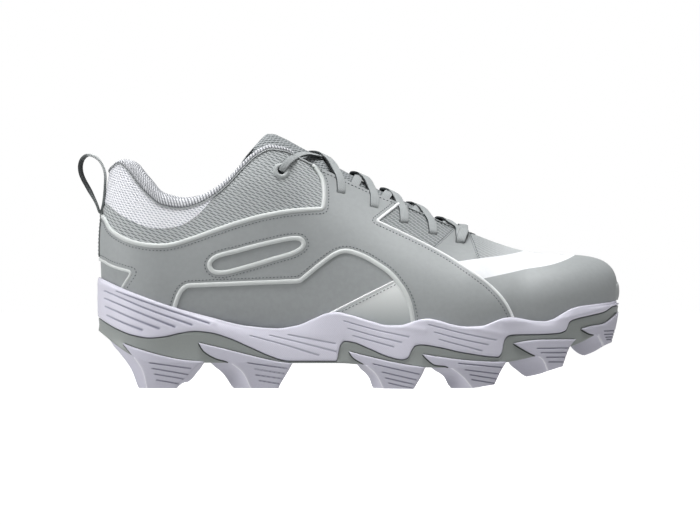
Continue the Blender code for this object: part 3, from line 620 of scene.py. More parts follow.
def stitch_row(bag, P, N, closed, lift, pitch=2.05, length=1.15, width=0.5, height=0.3):
    """Thread pills laid end to end along a line."""
    P2, N2 = evenly(P, step=pitch, extra=N, closed=closed)
    if len(P2) < 2:
        return
    N2 = N2 / np.linalg.norm(N2, axis=1, keepdims=True)
    t = tangents(P2, closed)
    B = np.cross(t, N2)
    along_ = (np.array([-0.5, -0.36, 0.0, 0.36, 0.5]) * length)[:, None]
    fat = np.array([0.25, 0.85, 1.0, 0.85, 0.25])[:, None]
    dip = np.array([-0.25, -0.02, 0.05, -0.02, -0.25])[:, None]
    ang = np.linspace(0, 2 * np.pi, 6, endpoint=False)[None, :]
    lx = np.broadcast_to(along_, (5, 6))
    ly = width / 2 * fat * np.cos(ang)
    lz = height * fat * np.sin(ang) + dip
    k = 30
    V = (
        P2[:, None, :]
        + t[:, None, :] * lx.reshape(1, k, 1)
        + B[:, None, :] * ly.reshape(1, k, 1)
        + N2[:, None, :] * (lz.reshape(1, k, 1) + lift)
    )
    one = ring_faces(5, 6).tolist() + [[0, 1, 2, 3, 4, 5][::-1], [24, 25, 26, 27, 28, 29]]
    for i in range(len(P2)):
        bag.add(V[i], one)


# ------------------------------------------------------------ drawn shapes
def signed(P, poly):
    """Distance in millimetres from drawn points to a closed outline, + inside."""
    poly = np.asarray(poly, float)
    best = np.full(len(P), 1e18)
    inside = np.zeros(len(P), bool)
    for a, b in zip(poly, np.roll(poly, -1, 0)):
        ab = b - a
        t = np.clip(((P - a) @ ab) / max(ab @ ab, 1e-12), 0, 1)
        d = P - a - t[:, None] * ab
        best = np.minimum(best, (d * d).sum(1))
        hit = (a[1] > P[:, 1]) != (b[1] > P[:, 1])
        if a[1] != b[1]:
            inside ^= hit & (P[:, 0] < (b[0] - a[0]) * (P[:, 1] - a[1]) / (b[1] - a[1]) + a[0])
    return np.where(inside, 1.0, -1.0) * np.sqrt(best) * PX


def line_distance(P, line):
    line = np.asarray(line, float)
    best = np.full(len(P), 1e18)
    for a, b in zip(line[:-1], line[1:]):
        ab = b - a
        t = np.clip(((P - a) @ ab) / max(ab @ ab, 1e-12), 0, 1)
        d = P - a - t[:, None] * ab
        best = np.minimum(best, (d * d).sum(1))
    return np.sqrt(best) * PX


def outline(*runs):
    """Closed outline: a run of several points is bent smoothly, corners between."""
    out = []
    for run in runs:
        out.append(bend(run) if len(run) > 2 else np.asarray(run, float))
    return np.vstack(out)


# ------------------------------------------------------------ materials
def lin(code):
    c = [int(code[i : i + 2], 16) / 255 for i in (1, 3, 5)]
    return tuple(((v + 0.055) / 1.055) ** 2.4 if v > 0.04045 else v / 12.92 for v in c)


class Look:
    """A node material put together step by step."""

    def __init__(self, name, colour, rough=0.6, **sockets):
        self.mat = bpy.data.materials.new(name)
        self.mat.use_nodes = True
        self.tree = self.mat.node_tree
        self.bsdf = self.tree.nodes["Principled BSDF"]
        self.colour = colour
        self.bsdf.inputs["Base Color"].default_value = (*colour, 1)
        self.bsdf.inputs["Roughness"].default_value = rough
        for k, v in sockets.items():
            self.bsdf.inputs[k.replace("_", " ")].default_value = v
        self._uv = None

    def node(self, kind, *inputs, out=0, **props):
        n = self.tree.nodes.new(kind)
        for k, v in props.items():
            setattr(n, k, v)
        for i, v in enumerate(inputs):
            if v is None:
                continue
            if isinstance(v, bpy.types.NodeSocket):
                self.tree.links.new(v, n.inputs[i])
            else:
                n.inputs[i].default_value = v
        return n.outputs[out]

    def calc(self, op, a, b=0.0, c=0.0):
        return self.node("ShaderNodeMath", a, b, c, operation=op)

    def uv(self):
        if self._uv is None:
            src = self.node("ShaderNodeUVMap", uv_map="UVMap")
            sep = self.tree.nodes.new("ShaderNodeSeparateXYZ")
            self.tree.links.new(src, sep.inputs[0])
            self._uv = (sep.outputs[0], sep.outputs[1])
        return self._uv

    def step(self, x, lo, hi, a=0.0, b=1.0):
        return self.node("ShaderNodeMapRange", x, lo, hi, a, b, interpolation_type="SMOOTHSTEP")

    def attr(self, name):
        n = self.tree.nodes.new("ShaderNodeAttribute")
        n.attribute_name = name
        return n.outputs[2]

    def noise(self, scale, detail=2.0, rough=0.5, stretch=None):
        co = self.node("ShaderNodeTexCoord", out=3)
        if stretch is not None:
            co = self.node("ShaderNodeMapping", co, None, None, stretch)
        return self.node("ShaderNodeTexNoise", co, None, scale, detail, rough)

    def mix(self, fac, a, b, blend="MIX"):
        n = self.tree.nodes.new("ShaderNodeMix")
        n.data_type = "RGBA"
        n.blend_type = blend
        for i, v in ((0, fac), (6, a), (7, b)):
            if isinstance(v, bpy.types.NodeSocket):
                self.tree.links.new(v, n.inputs[i])
            else:
                n.inputs[i].default_value = (*v, 1) if isinstance(v, tuple) else v
        return n.outputs[2]

    def base(self, socket):
        self.tree.links.new(socket, self.bsdf.inputs["Base Color"])

    def rough(self, socket):
        self.tree.links.new(socket, self.bsdf.inputs["Roughness"])

    def bump(self, height, distance, strength=1.0):
        n = self.tree.nodes.new("ShaderNodeBump")
        n.inputs["Strength"].default_value = strength
        n.inputs["Distance"].default_value = distance
        self.tree.links.new(height, n.inputs["Height"])
        self.tree.links.new(n.outputs[0], self.bsdf.inputs["Normal"])

    def dashes(self, pitch, row, slant, long=0.66, high=0.5, tilt=0.5):
        """Mask of small lens shapes in staggered rows, on UVs in millimetres."""
        u, v = self.uv()
        k = self.calc("DIVIDE", self.calc("MULTIPLY_ADD", u, slant, v), row)
        odd = self.calc("PINGPONG", self.calc("FLOOR", k), 1.0)
        fu = self.calc("SUBTRACT", self.calc("FRACT", self.calc("MULTIPLY_ADD", odd, 0.5, self.calc("DIVIDE", u, pitch))), 0.5)
        fv = self.calc("SUBTRACT", self.calc("FRACT", k), 0.5)
        fv = self.calc("MULTIPLY_ADD", fu, tilt, fv)
        a = self.calc("POWER", self.calc("ABSOLUTE", self.calc("MULTIPLY", fu, 2.0 / long)), 2.0)
        b = self.calc("POWER", self.calc("ABSOLUTE", self.calc("MULTIPLY", fv, 2.0 / high)), 2.0)
        return self.step(self.calc("ADD", a, b), 0.55, 1.35, 1.0, 0.0)


def mesh_look(name, light, dark, pitch, row, slant, depth, long=0.7, high=0.5, tilt=0.35, mixed=1.0, faded=None):
    k = Look(name, lin(light), 0.85)
    k.bsdf.inputs["Specular IOR Level"].default_value = 0.25
    d = k.dashes(pitch, row, slant, long, high, tilt)
    grain = k.noise(900.0, 3.0)
    d2 = k.calc("MULTIPLY", d, k.step(grain, 0.2, 0.62, 0.55 * mixed, 1.0 * mixed))
    ground = k.mix(d2, lin(light), lin(dark))
    k.base(k.mix(k.attr("fade"), ground, lin(faded)) if faded else ground)
    k.bump(k.calc("MULTIPLY_ADD", grain, 0.25, k.calc("MULTIPLY", d, -1.0)), depth, 0.8)
    return k.mat


def skin_look(name, code, rough=0.5, grain=0.05, mottle=0.035, spec=0.4):
    k = Look(name, lin(code), rough)
    k.bsdf.inputs["Specular IOR Level"].default_value = spec
    fine, wide = k.noise(2600.0, 2.0), k.noise(420.0, 3.0)
    dark = tuple(c * (1 - mottle * 2.2) for c in lin(code))
    pale = tuple(min(1, c * (1 + mottle * 1.6)) for c in lin(code))
    k.base(k.mix(k.step(wide, 0.3, 0.7), dark, pale))
    k.bump(k.calc("MULTIPLY_ADD", wide, 0.5, fine), grain * 0.001, 0.6)
    return k.mat


MESH = mesh_look("mesh_grey", "#BABEBF", "#74797A", 4.0, 1.45, 0.2, 0.00024, long=1.0, high=0.5, tilt=0.5)
VAMP_MESH = mesh_look("mesh_vamp", "#A1A5A6", "#6E7374", 4.2, 1.5, 0.1, 0.0003, long=1.0, high=0.5, tilt=0.6, faded="#D8DBDD")
WHITE_MESH = mesh_look("mesh_white", "#F0F1F5", "#A9ACB6", 2.4, 1.25, 0.12, 0.0002, long=0.85, high=0.5, tilt=0.45)
SKIN = skin_look("skin_grey", "#9FA3A4", 0.55, 0.05, 0.012)
SKIN_DARK = skin_look("skin_inset", "#9CA0A1", 0.62, 0.07, 0.015)
SKIN_PATCH = skin_look("skin_vamp", "#989C9D", 0.55, 0.05, 0.012)
WHITE_SKIN = skin_look("skin_white", "#E6E8EB", 0.55, 0.06, 0.008)
PIPING = skin_look("piping_pale", "#CFD3D2", 0.45, 0.03, 0.008, 0.4)
PIPING_WHITE = skin_look("piping_white", "#EDEFF0", 0.45, 0.03, 0.008, 0.4)
INNER = skin_look("lining_inner", "#9EA2A4", 0.9, 0.2, 0.05, 0.2)
THREAD = Look("thread_dark", lin("#5C6163"), 0.6).mat
# painted shade meant for the lace slots; no mesh uses this material
DARK = Look("slot_dark", lin("#2E3234"), 0.8).mat
GROMMET = skin_look("eyelet_grey", "#A9AEAE", 0.4, 0.02, 0.01, 0.5)


def pale_look():
    """Panel that fades from pale at its top to grey at its foot."""
    k = Look("skin_pale", lin("#D4DAD8"), 0.5)
    t = k.attr("fade")
    top = k.mix(t, lin("#A3A9A9"), lin("#F2F5F4"))
    k.base(top)
    k.bump(k.noise(2400.0, 2.0), 0.00005, 0.6)
    return k.mat


PALE = pale_look()

# ------------------------------------------------------------ upper, outer face
def make_sheet(n, m):
    s = np.arange(n) * (2 * HALF / n)
    q = np.linspace(0, 1, m)
    P = shell(s[:, None], q[None, :])
    arc = np.concatenate([np.zeros((n, 1)), np.cumsum(np.linalg.norm(np.diff(P, axis=1), axis=2), 1)], 1)
    u = np.broadcast_to(along(s)[0][:, None], (n, m))
    side = np.broadcast_to(along(s)[1][:, None], (n, m))
    flat = P.reshape(-1, 3)
    _, first, inv = np.unique(np.round(flat / 0.002).astype(np.int64), axis=0, return_index=True, return_inverse=True)
    inv = inv.ravel()
    F = inv[grid_faces(n, m, wrap=True)]
    T = np.vstack([F[:, [0, 1, 2]], F[:, [0, 2, 3]]])
    T = T[(T[:, 0] != T[:, 1]) & (T[:, 1] != T[:, 2]) & (T[:, 0] != T[:, 2])]
    V = flat[first]
    N = vertex_normals(V, T)
    if (N[:, 1] * np.sign(V[:, 1] - CENTRE(V[:, 0]))).sum() < 0:
        T, N = T[:, ::-1], -N
    data = {
        "uv": np.stack([u, arc], -1).reshape(-1, 2)[first],
        "down": (arc[:, -1:] - arc).reshape(-1)[first],
        "side": side.reshape(-1)[first].astype(float),
        "m": u.reshape(-1)[first].astype(float),
    }
    return V, T, N, data


V, T, N, data = make_sheet(*(((612, 98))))

# Soft folds and swells, drawn on the side drawing: (line, side or 0 for both, height, width)
FOLDS = [
    ([(352, 214), (372, 232), (398, 249), (430, 268)], 0, 0.25, 9.0),
    ([(486, 250), (492, 266), (494, 284)], 0, -0.35, 5.0),
    ([(506, 252), (514, 268), (520, 288), (522, 304)], 0, -0.3, 6.0),
    ([(122, 190), (132, 212), (150, 226), (176, 228)], 0, 0.5, 9.0),
    ([(236, 186), (262, 178), (290, 186)], 0, 0.35, 8.0),
    ([(112, 238), (124, 262), (128, 286)], 0, 0.4, 12.0),
    ([(150, 262), (196, 272), (252, 268)], 0, -0.3, 10.0),
]
D = drawn(V)
h = np.zeros(len(V))
for line, side, height, width in FOLDS:
    d = line_distance(D, bend(line))
    on = 1.0 if side == 0 else (np.sign(data["side"]) == side)
    h += on * height * np.exp(-((d / width) ** 2))
fade = np.clip(data["down"] / 6.0, 0, 1) * np.clip((V[:, 2] - rim_z(V[:, 0])) / 8.0, 0, 1)
V = V + N * (h * fade)[:, None]
N = vertex_normals(V, T)
data["N"] = N
base = Sheet(V, T, data)
D = drawn(V)

# -- outlines of the panels, on the side drawing
SKIN_LINE = outline(
    [(60, 209), (80, 213), (102.9, 217), (111, 229.5), (126, 239.5), (146, 245), (168, 245.5), (192, 239),
     (216, 230.5), (240, 222.5), (264, 216), (290, 211.5), (312, 209.8), (322.9, 209.5)],
    [(322.9, 209.5), (324, 196), (321.8, 179.4), (314.7, 168), (308, 158), (300, 140)],
    [(300, 110), (440, 110)],
    [(440, 168), (404, 199), (396.2, 206), (376.4, 221.6)],
    [(376.4, 221.6), (402, 233.7), (428, 246.6), (454, 261.2), (479.7, 278.4), (490, 286.5), (499, 295.5), (505.5, 304),
     (511.5, 316), (516, 330), (517, 345)],
    [(517, 420), (60, 420)],
)
HOLE_LINE = outline(
    [(170, 332), (172, 320), (176, 303), (181, 291), (187, 285.5)],
    [(187, 285.5), (300, 281)],
    [(300, 281), (322, 263), (336, 253.5), (346, 251), (363, 256), (378, 264.5), (390, 273), (397.5, 281.5),
     (404.5, 291.5), (409.5, 303), (412.7, 318), (413, 335), (413, 360)],
    [(300, 400), (170, 400)],
)
PANEL_LINE = bend([(214, 258), (240, 250.2), (268, 243), (294, 238.2), (302, 239.6), (304, 245.5), (297, 251.5), (272, 259.5),
                   (246, 267.3), (222, 272.8), (212.6, 271), (209.4, 264.5)], closed=True)
HEEL_LINE = outline([(60, 252), (80, 256), (101.4, 260), (112.7, 266), (133, 272.2)], [(133, 272.2), (123.9, 286.5), (118, 300), (112, 330), (60, 330)])
TRI_LINE = outline([(402, 276.3), (395.5, 279.7), (368, 293.5), (340, 307.5), (318, 319)], [(318, 400), (430, 400), (430, 276)])
UNDER_STRIPE_TOP = outline([(430, 265.5), (460.4, 261.5), (481.7, 258.4), (503.4, 255.7), (523, 251.7), (560, 240)], [(700, 240), (700, 420), (430, 420)])
UNDER_STRIPE_LOW = outline([(460, 284), (483.6, 278.9), (514, 272.5), (525.9, 269.8), (546.7, 266.6), (560.8, 262.8), (574, 257), (600, 242)],
                           [(700, 240), (700, 420), (460, 420)])
COLLAR_LINE = outline([(80, 190), (96, 196.5), (105.6, 202.7), (118.2, 213), (134.3, 222.2), (150.4, 227.9), (166.4, 228.5), (182.5, 225.1),
                       (196.3, 216.4), (205.5, 207.3), (215.8, 194.6), (226, 178)], [(226, 120), (80, 120)])
AFTER_SEAM_1 = [(457, 226.3), (434.7, 247.1), (425, 256), (425, 330), (560, 330), (560, 200), (457, 200)]
BEFORE_SEAM_2 = [(470.5, 236), (472, 239.6), (477.8, 256.2), (482, 270), (400, 300), (400, 200), (462, 200)]


def field(poly):
    return true_distance(V, T, signed(D, poly))


f_out = field(SKIN_LINE)
f_hole, f_panel, f_heel = field(HOLE_LINE), field(PANEL_LINE), field(HEEL_LINE)
f_tri_side = field(TRI_LINE)
f_low, f_top = field(UNDER_STRIPE_LOW), field(UNDER_STRIPE_TOP)
f_white = field(COLLAR_LINE)
f_skin = np.minimum.reduce([f_out, -f_hole, -f_panel, -f_heel])
f_toe = np.minimum(-f_out, f_low)
f_stripe = np.minimum.reduce([-f_out, -f_low, f_top])
f_patch = np.minimum.reduce([-f_out, -f_top, field(AFTER_SEAM_1), field(BEFORE_SEAM_2)])
f_vamp = np.minimum(-f_out, np.minimum(-f_top, (V[:, 0] - 120.0)))

# -- holes for the laces: X, height and half width of the slots, then the eyelet
SLOTS = [(187.4, 75.3, 1.75), (173.2, 80.0, 1.75), (158.3, 86.0, 1.75), (142.8, 93.4, 1.75), (125.7, 101.0, 1.75)]
EYELET = (95.2, 112.2)


def spot(x, z, side):
    """The sheet's point at that place on the side drawing, and its normal."""
    ok = np.flatnonzero(data["side"] * side > 0)
    i = ok[np.argmin((V[ok, 0] - x) ** 2 + (V[ok, 2] - z) ** 2)]
    s0 = data["m"][i] if side < 0 else 2 * HALF - data["m"][i]
    qs = np.linspace(0.3, 0.995, 400)
    ss = s0 + np.linspace(-2.0, 2.0, 41)
    P = shell(ss[:, None], qs[None, :])
    k = np.unravel_index(np.argmin((P[..., 0] - x) ** 2 + (P[..., 2] - z) ** 2), P.shape[:2])
    return P[k], shell_normal(ss[k[0]], qs[k[1]]), ss[k[0]], qs[k[1]]


f_holes = np.full(len(V), 50.0)
slot_at = {}
for side in (-1, 1):
    for i, (x, z, half) in enumerate(SLOTS):
        c, n, s0, q0 = spot(x, z, side)
        a = np.array([1.0, 0.0, 0.0]) - n * n[0]
        a /= np.linalg.norm(a)
        slot_at[side, i] = (c, n, a)
        rel = V - c
        t = np.clip(rel @ a, -half, half)
        f_holes = np.minimum(f_holes, np.linalg.norm(rel - t[:, None] * a, axis=1) - 0.75)
    c, n, s0, q0 = spot(*EYELET, side)
    slot_at[side, "eyelet"] = (c, n, s0)
    f_holes = np.minimum(f_holes, np.linalg.norm(V - c, axis=1) - 2.5)
data["N"] = N


def boundary(T):
    e = np.vstack([T[:, [0, 1]], T[:, [1, 2]], T[:, [2, 0]]])
    _, idx, cnt = np.unique(np.sort(e, 1), axis=0, return_index=True, return_counts=True)
    return e[idx[cnt == 1]]


def layer(name, f, lift, mat, drop=0.4, holes=True, slot="upper", attrs=None):
    """Sheet of its own thickness over the part of the upper where f is positive."""
    part, _ = clip(base, np.minimum(f, f_holes) if holes else f)
    P, Nn = part.V, part.data["N"]
    b = boundary(part.T)
    ids, inv = np.unique(b, return_inverse=True)
    inv = inv.reshape(-1, 2) + len(P)
    allV = np.vstack([P + Nn * lift, P[ids] - Nn[ids] * drop])
    skirt = np.stack([b[:, 1], b[:, 0], inv[:, 0], inv[:, 1]], 1)
    uv = np.vstack([part.data["uv"], part.data["uv"][ids]])
    extra = {k: np.concatenate([v(part), v(part)[ids]]) for k, v in (attrs or {}).items()}
    ob = finish_mesh(name, allV, part.T.tolist() + skirt.tolist(), mat, smooth=38.0, uv=uv, attrs=extra)
    return ob


top_z = V[:, 2] - rim_z(V[:, 0])
shows = top_z + 5.0  # nothing is needed far below the midsole's rim
body = layer("upper_body", np.full(len(V), 9.0), 0.0, MESH, drop=0.0)
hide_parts("upper")
layer("upper_collar_panel", f_white, 0.12, WHITE_MESH, drop=0.1)
layer("upper_vamp_mesh", np.minimum(f_vamp, -f_patch), 0.08, VAMP_MESH, drop=0.1,
      attrs={"fade": lambda p: np.clip((drawn(p.V)[:, 0] - 458) / 50.0, 0, 1) * 0.5})
layer("upper_vamp_patch", f_patch, 0.2, SKIN_PATCH, drop=0.1)
layer("upper_skin", np.minimum(f_skin, shows), 0.65, SKIN)
layer("upper_inset", np.minimum.reduce([f_hole, -f_tri_side, shows]), 0.15, SKIN_DARK, drop=0.1)
layer("upper_panel", f_panel, 0.15, SKIN_DARK, drop=0.1)
layer("upper_heel_patch", np.minimum(f_heel, shows), 0.15, SKIN_DARK, drop=0.1)
layer("upper_pale_panel", np.minimum.reduce([f_hole, f_tri_side, shows]), 0.35, PALE,
      attrs={"fade": lambda p: np.clip((drawn(p.V)[:, 1] - 325) / (283 - 325), 0, 1)})
layer("upper_stripe", np.minimum(f_stripe, shows), 0.3, WHITE_SKIN, drop=0.1)
layer("upper_toe_cap", np.minimum(f_toe, shows), 0.55, SKIN)

# inner wall and the rim between the two
si = np.arange(204) * (2 * HALF / 204)
qi = np.linspace(0, 1, 34)
Pi = shell(si[:, None], qi[None, :]) - shell_normal(si[:, None], np.minimum(qi, 0.985)[None, :]) * WALL
inner = finish_mesh("upper_inner", Pi.reshape(-1, 3), grid_faces(204, 34, wrap=True), INNER, uv=np.stack(
    np.broadcast_arrays(si[:, None], qi[None, :] * 90.0), -1).reshape(-1, 2), weld=0.00001)
m_end = mark("x", 195.6)
se = np.concatenate([np.linspace(m_end, 0, 300), 2 * HALF - np.linspace(0, m_end, 300)[1:]])
ee, en = shell(se, 1.0), shell_normal(se, 0.985)
rows = [ee - en * 0.0 + 0, ee + en * 0.55, ee + en * 0.35, ee - en * 0.4, ee - en * 1.2, ee - en * WALL]
upv = shell(se, 1.0) - shell(se, 0.985)
upv /= np.maximum(np.linalg.norm(upv, axis=1, keepdims=True), 1e-9)
rows = [ee + en * 0.5 - upv * 0.8, ee + en * 0.5, ee + en * 0.3 + upv * 0.35, ee - en * 0.5 + upv * 0.45, ee - en * 1.3 + upv * 0.3, ee - en * WALL - upv * 0.5]
rim = finish_mesh("upper_rim", np.stack(rows, 1).reshape(-1, 3), grid_faces(len(se), 6), SKIN, smooth=80)

# -- piping and stitches
pipes, white_pipes, threads = Bag(), Bag(), Bag()
BEAD, THIN = dome(2.45, 0.8), dome(1.15, 0.75)


def px_of(part, line):
    return drawn(part.V[line])


def above_rim(part, line, by=-2.0):
    p = part.V[line]
    return p[:, 2] > rim_z(p[:, 0]) + by


def over(part, line):
    d = px_of(part, line)
    return above_rim(part, line) & (d[:, 0] < 376.0) & (d[:, 1] > 150)


for P, Nn, c in lines_on(base, f_out, 0.0, over, smooth=2, step=0.8):
    sweep(pipes, P, Nn, c, BEAD, lift=0.4)
for P, Nn, c in lines_on(base, f_out, 0.0, lambda p, l: above_rim(p, l) & (px_of(p, l)[:, 0] >= 375.2), smooth=1, step=0.8):
    wide = drawn(P)[:, 1].max() > 285 and drawn(P)[:, 1].min() > 250
    sweep(white_pipes, P, Nn, c, dome(1.9, 0.75) if wide else dome(1.65, 0.75), lift=0.45)
for f in (f_hole, f_panel, f_heel):
    for P, Nn, c in lines_on(base, f, 0.0, above_rim, smooth=2, step=0.8):
        sweep(pipes, P, Nn, c, BEAD if f is not f_heel else dome(1.7, 0.8), lift=0.4)
for P, Nn, c in lines_on(base, f_tri_side, 0.35, lambda p, l: above_rim(p, l) & (px_of(p, l)[:, 0] < 396.5) & (px_of(p, l)[:, 0] > 322), smooth=1):
    sweep(white_pipes, P, Nn, c, THIN, lift=0.1)

skin_part, _ = clip(Sheet(V, T, {**data, "f": f_skin, "out": f_out}), np.minimum(f_skin, shows))


def in_skin(part, line):
    return above_rim(part, line, 0.3)


for P, Nn, c in lines_on(skin_part, skin_part.data["f"], 2.45, in_skin, smooth=2):
    stitch_row(threads, P, Nn, c, 0.66, pitch=1.85, length=1.0, width=0.48)
for P, Nn, c in lines_on(base, f_tri_side, 2.3, lambda p, l: above_rim(p, l, 0.3) & (px_of(p, l)[:, 0] < 395) & (px_of(p, l)[:, 0] > 322), smooth=1):
    stitch_row(threads, P, Nn, c, 0.36, width=0.4)
for P, Nn, c in lines_on(base, data["down"], 2.2, lambda p, l: (p.V[l][:, 0] > 110) & (p.V[l][:, 0] < 193), smooth=1):
    stitch_row(threads, P, Nn, c, 0.68, width=0.42)
for seam, a, b in ((AFTER_SEAM_1, 0, 1), (BEFORE_SEAM_2, 0, 2)):
    f = field(seam)
    ok = lambda p, l: (px_of(p, l)[:, 0] > 434) & (px_of(p, l)[:, 0] < 479) & (px_of(p, l)[:, 1] > 225) & (px_of(p, l)[:, 1] < 259)
    for lv in (-0.45, 0.55):
        for P, Nn, c in lines_on(base, f, lv, ok, smooth=1):
            if np.abs(tangents(P, False)[:, 2]).mean() > 0.2:
                stitch_row(threads, P, Nn, c, 0.12, pitch=1.7, length=1.2, width=0.35, height=0.22)
for bag, nm, mat in ((pipes, "upper_piping", PIPING), (white_pipes, "upper_piping_white", PIPING_WHITE), (threads, "upper_stitches", THREAD)):
    if bag.n:
        bag.make(nm, mat)


# ------------------------------------------------------------ sole
def foam_look(name, code, shade, dots=True):
    k = Look(name, lin(code), 0.42)
    k.bsdf.inputs["Specular IOR Level"].default_value = 0.45
    # painted shade: colour mixed towards the shade colour in grooves and at joins with other parts, by a per-point
    # attribute
    g = k.attr("painted_shade")
    fine = k.noise(3000.0, 1.0)
    ground = k.mix(k.step(fine, 0.35, 0.65), tuple(c * 0.955 for c in lin(code)), lin(code))
    if dots:
        ground = k.mix(k.calc("MULTIPLY", k.dashes(1.05, 0.62, 0.0, 0.6, 0.6, 0.0), 0.55), ground, tuple(c * 0.86 for c in lin(code)))
    # painted highlight: the studs' ridge lines are lightened towards near-white by the 'pale' attribute
    ground = k.mix(k.attr("pale"), ground, lin("#F4F4FA"))
    k.base(k.mix(g, ground, lin(shade)))
    k.bump(fine, 0.00006, 0.5)
    return k.mat


FOAM = foam_look("foam_white", "#DDDCE9", "#86879B")
STUD = foam_look("stud_white", "#C9C8D5", "#6F7082", dots=False)
BAND = foam_look("band_grey", "#969B99", "#454A48", dots=False)

MID_GROOVES = [
    [(116.7, 291.2), (160, 307), (209, 323.3)], [(104, 290.6), (150, 310), (191.8, 324.7)],
    [(104, 298.2), (140, 313), (174.9, 326.7)], [(104.9, 306.3), (132, 318), (159.2, 328.4)],
    [(106.5, 315.1), (124, 323), (142.2, 329.8)],
    [(250.4, 335.5), (284, 344.5), (318.8, 354.9)], [(269.8, 335.1), (303, 343), (338.2, 351.8)], [(288.2, 334.5), (335.1, 343.3)],
    [(343.8, 320.7), (375, 329.5), (408.4, 336.7)], [(348.2, 328.1), (374, 335.6), (401.2, 342.1)], [(353, 335.4), (393.1, 346.5)],
    [(428.5, 324.3), (462, 333), (495.5, 339.8)], [(434.3, 331.9), (460, 338.7), (487.5, 344.4)], [(439, 339.2), (481.1, 350.3)],
]
# broad steps across the foam's side: line, depth, width
MID_FOLDS = [
    ([(209, 321), (262, 331), (322, 341), (345, 340)], 0.2, 2.4),
    ([(100, 284), (150, 300), (214, 322)], -0.4, 1.6),
    ([(345, 313), (386, 323), (424, 330)], -0.35, 1.6),
    ([(424, 316), (470, 327), (512, 336)], -0.35, 1.6),
    ([(506, 322), (540, 320), (575, 316), (600, 309)], -0.35, 1.6),
]


def scored(P, grooves, width=0.3, tail=None):
    out = np.zeros(len(P))
    for g in grooves:
        d = line_distance(P, bend(g) if len(g) > 2 else g)
        w = width if tail is None else np.interp(P[:, 0], [g[0][0], g[-1][0]], [width, tail])
        out = np.maximum(out, np.exp(-((d / w) ** 2)))
    return out


def out_dir(s):
    ax, ay, dx, dy = station(s)
    return np.stack([dx, dy, 0 * dx], -1)


n_s = 1224
s_ = np.arange(n_s) * (2 * HALF / n_s)
ax, ay, dx, dy = station(s_)
big = wide_r(s_) + sole_w(s_)
sx = ax + big * dx
rf, lip = foot_r(s_), lip_w(s_)
zf = FOOTBED(ax + rf * dx)
top = np.maximum(rim_z(sx), zf + 1.6)
low = step_z(sx)
flange = FLANGE(sx)
LV = 56
k = np.linspace(0, 1, LV)[None, :]
r14 = radius_at(s_, (top - 1.4)[:, None])[:, 0] + GAP + lip
upright = np.exp(-(((sx - 82.0) / 26.0) ** 4)) + 0.8 * np.exp(-(((sx - 218.0) / 26.0) ** 4))
r14 = r14 + 0.75 * upright * np.maximum(big - 0.3 - r14, 0.0)
rt = radius_at(s_, top[:, None])[:, 0]
a0, a1, a2 = big, big + 0.45, r14
z0, z1, z2 = low, low + 0.55 * (top - low), top - 1.4
R_side = a0[:, None] * (1 - k) ** 2 + 2 * a1[:, None] * k * (1 - k) + a2[:, None] * k * k
Z_side = z0[:, None] * (1 - k) ** 2 + 2 * z1[:, None] * k * (1 - k) + z2[:, None] * k * k
P_side = place(s_[:, None], R_side, Z_side)
Dm = drawn(P_side.reshape(-1, 3))
g = np.maximum(scored(Dm, MID_GROOVES[:5], 0.26, 0.62), 0.85 * scored(Dm, MID_GROOVES[5:], 0.26, 0.34))
relief = -0.5 * g
for line, depth, width in MID_FOLDS:
    relief = relief - depth * np.exp(-((line_distance(Dm, bend(line)) / width) ** 2))
edge_round = -0.5 * np.exp(-((Z_side - low[:, None]) / 0.45)).reshape(-1)
P_side = P_side.reshape(-1, 3) + np.repeat(out_dir(s_), LV, 0) * (relief + edge_round)[:, None]
P_side = P_side.reshape(n_s, LV, 3)
cap = []
for a in (25, 50, 75, 100):
    c, e = math.cos(math.radians(a)), math.sin(math.radians(a))
    half = 0.5 * (r14 - (rt + GAP))
    cap.append(place(s_, rt + GAP + half + half * c, top - 1.4 + 1.4 * min(e * 1.03, 1.0)))
cap.append(place(s_, rt + GAP, top - 0.4))
cap.append(place(s_, radius_at(s_, (top - 3.0)[:, None])[:, 0] + GAP * 0.7, top - 3.0))
inner_low = [place(s_, big - flange - 1.0, BASE(ax + (big - flange - 1.0) * dx) + PLATE + 0.6), place(s_, big - flange, low + 0.05), place(s_, big - 0.8, low + 0.02)]
rows = np.concatenate([np.stack(inner_low, 1), P_side, np.stack(cap, 1)], 1)
mm = rows.shape[1]
# painted shade: foam darkened under its foot on the plate, along its bottom edge and down in the gap under the upper,
# besides its grooves
ga = np.zeros((n_s, mm))
ga[:, 3 : 3 + LV] = g.reshape(n_s, LV)
ga[:, 0:3] = 0.9
ga[:, 3] = 0.5
ga[:, -1] = 0.8
midsole = finish_mesh("midsole_foam", rows.reshape(-1, 3), grid_faces(n_s, mm, wrap=True), FOAM, smooth=60, attrs={"painted_shade": ga.ravel()},
                      uv=np.stack([np.repeat(s_, mm), rows[..., 2].ravel()], 1))
recalc(midsole)
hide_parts("midsole")

# plate: its side shows as the grey band, its bottom is ribbed under the waist
n_p = 816
sp = np.arange(n_p) * (2 * HALF / n_p)
ax, ay, dx, dy = station(sp)
bigp = wide_r(sp) + sole_w(sp)
px_ = ax + bigp * dx
stepp = step_z(px_) - SEAT * 0.6
basez = lambda r: BASE(ax + r * dx)
zb = basez(bigp - 0.9)
cols, gcol = [], []
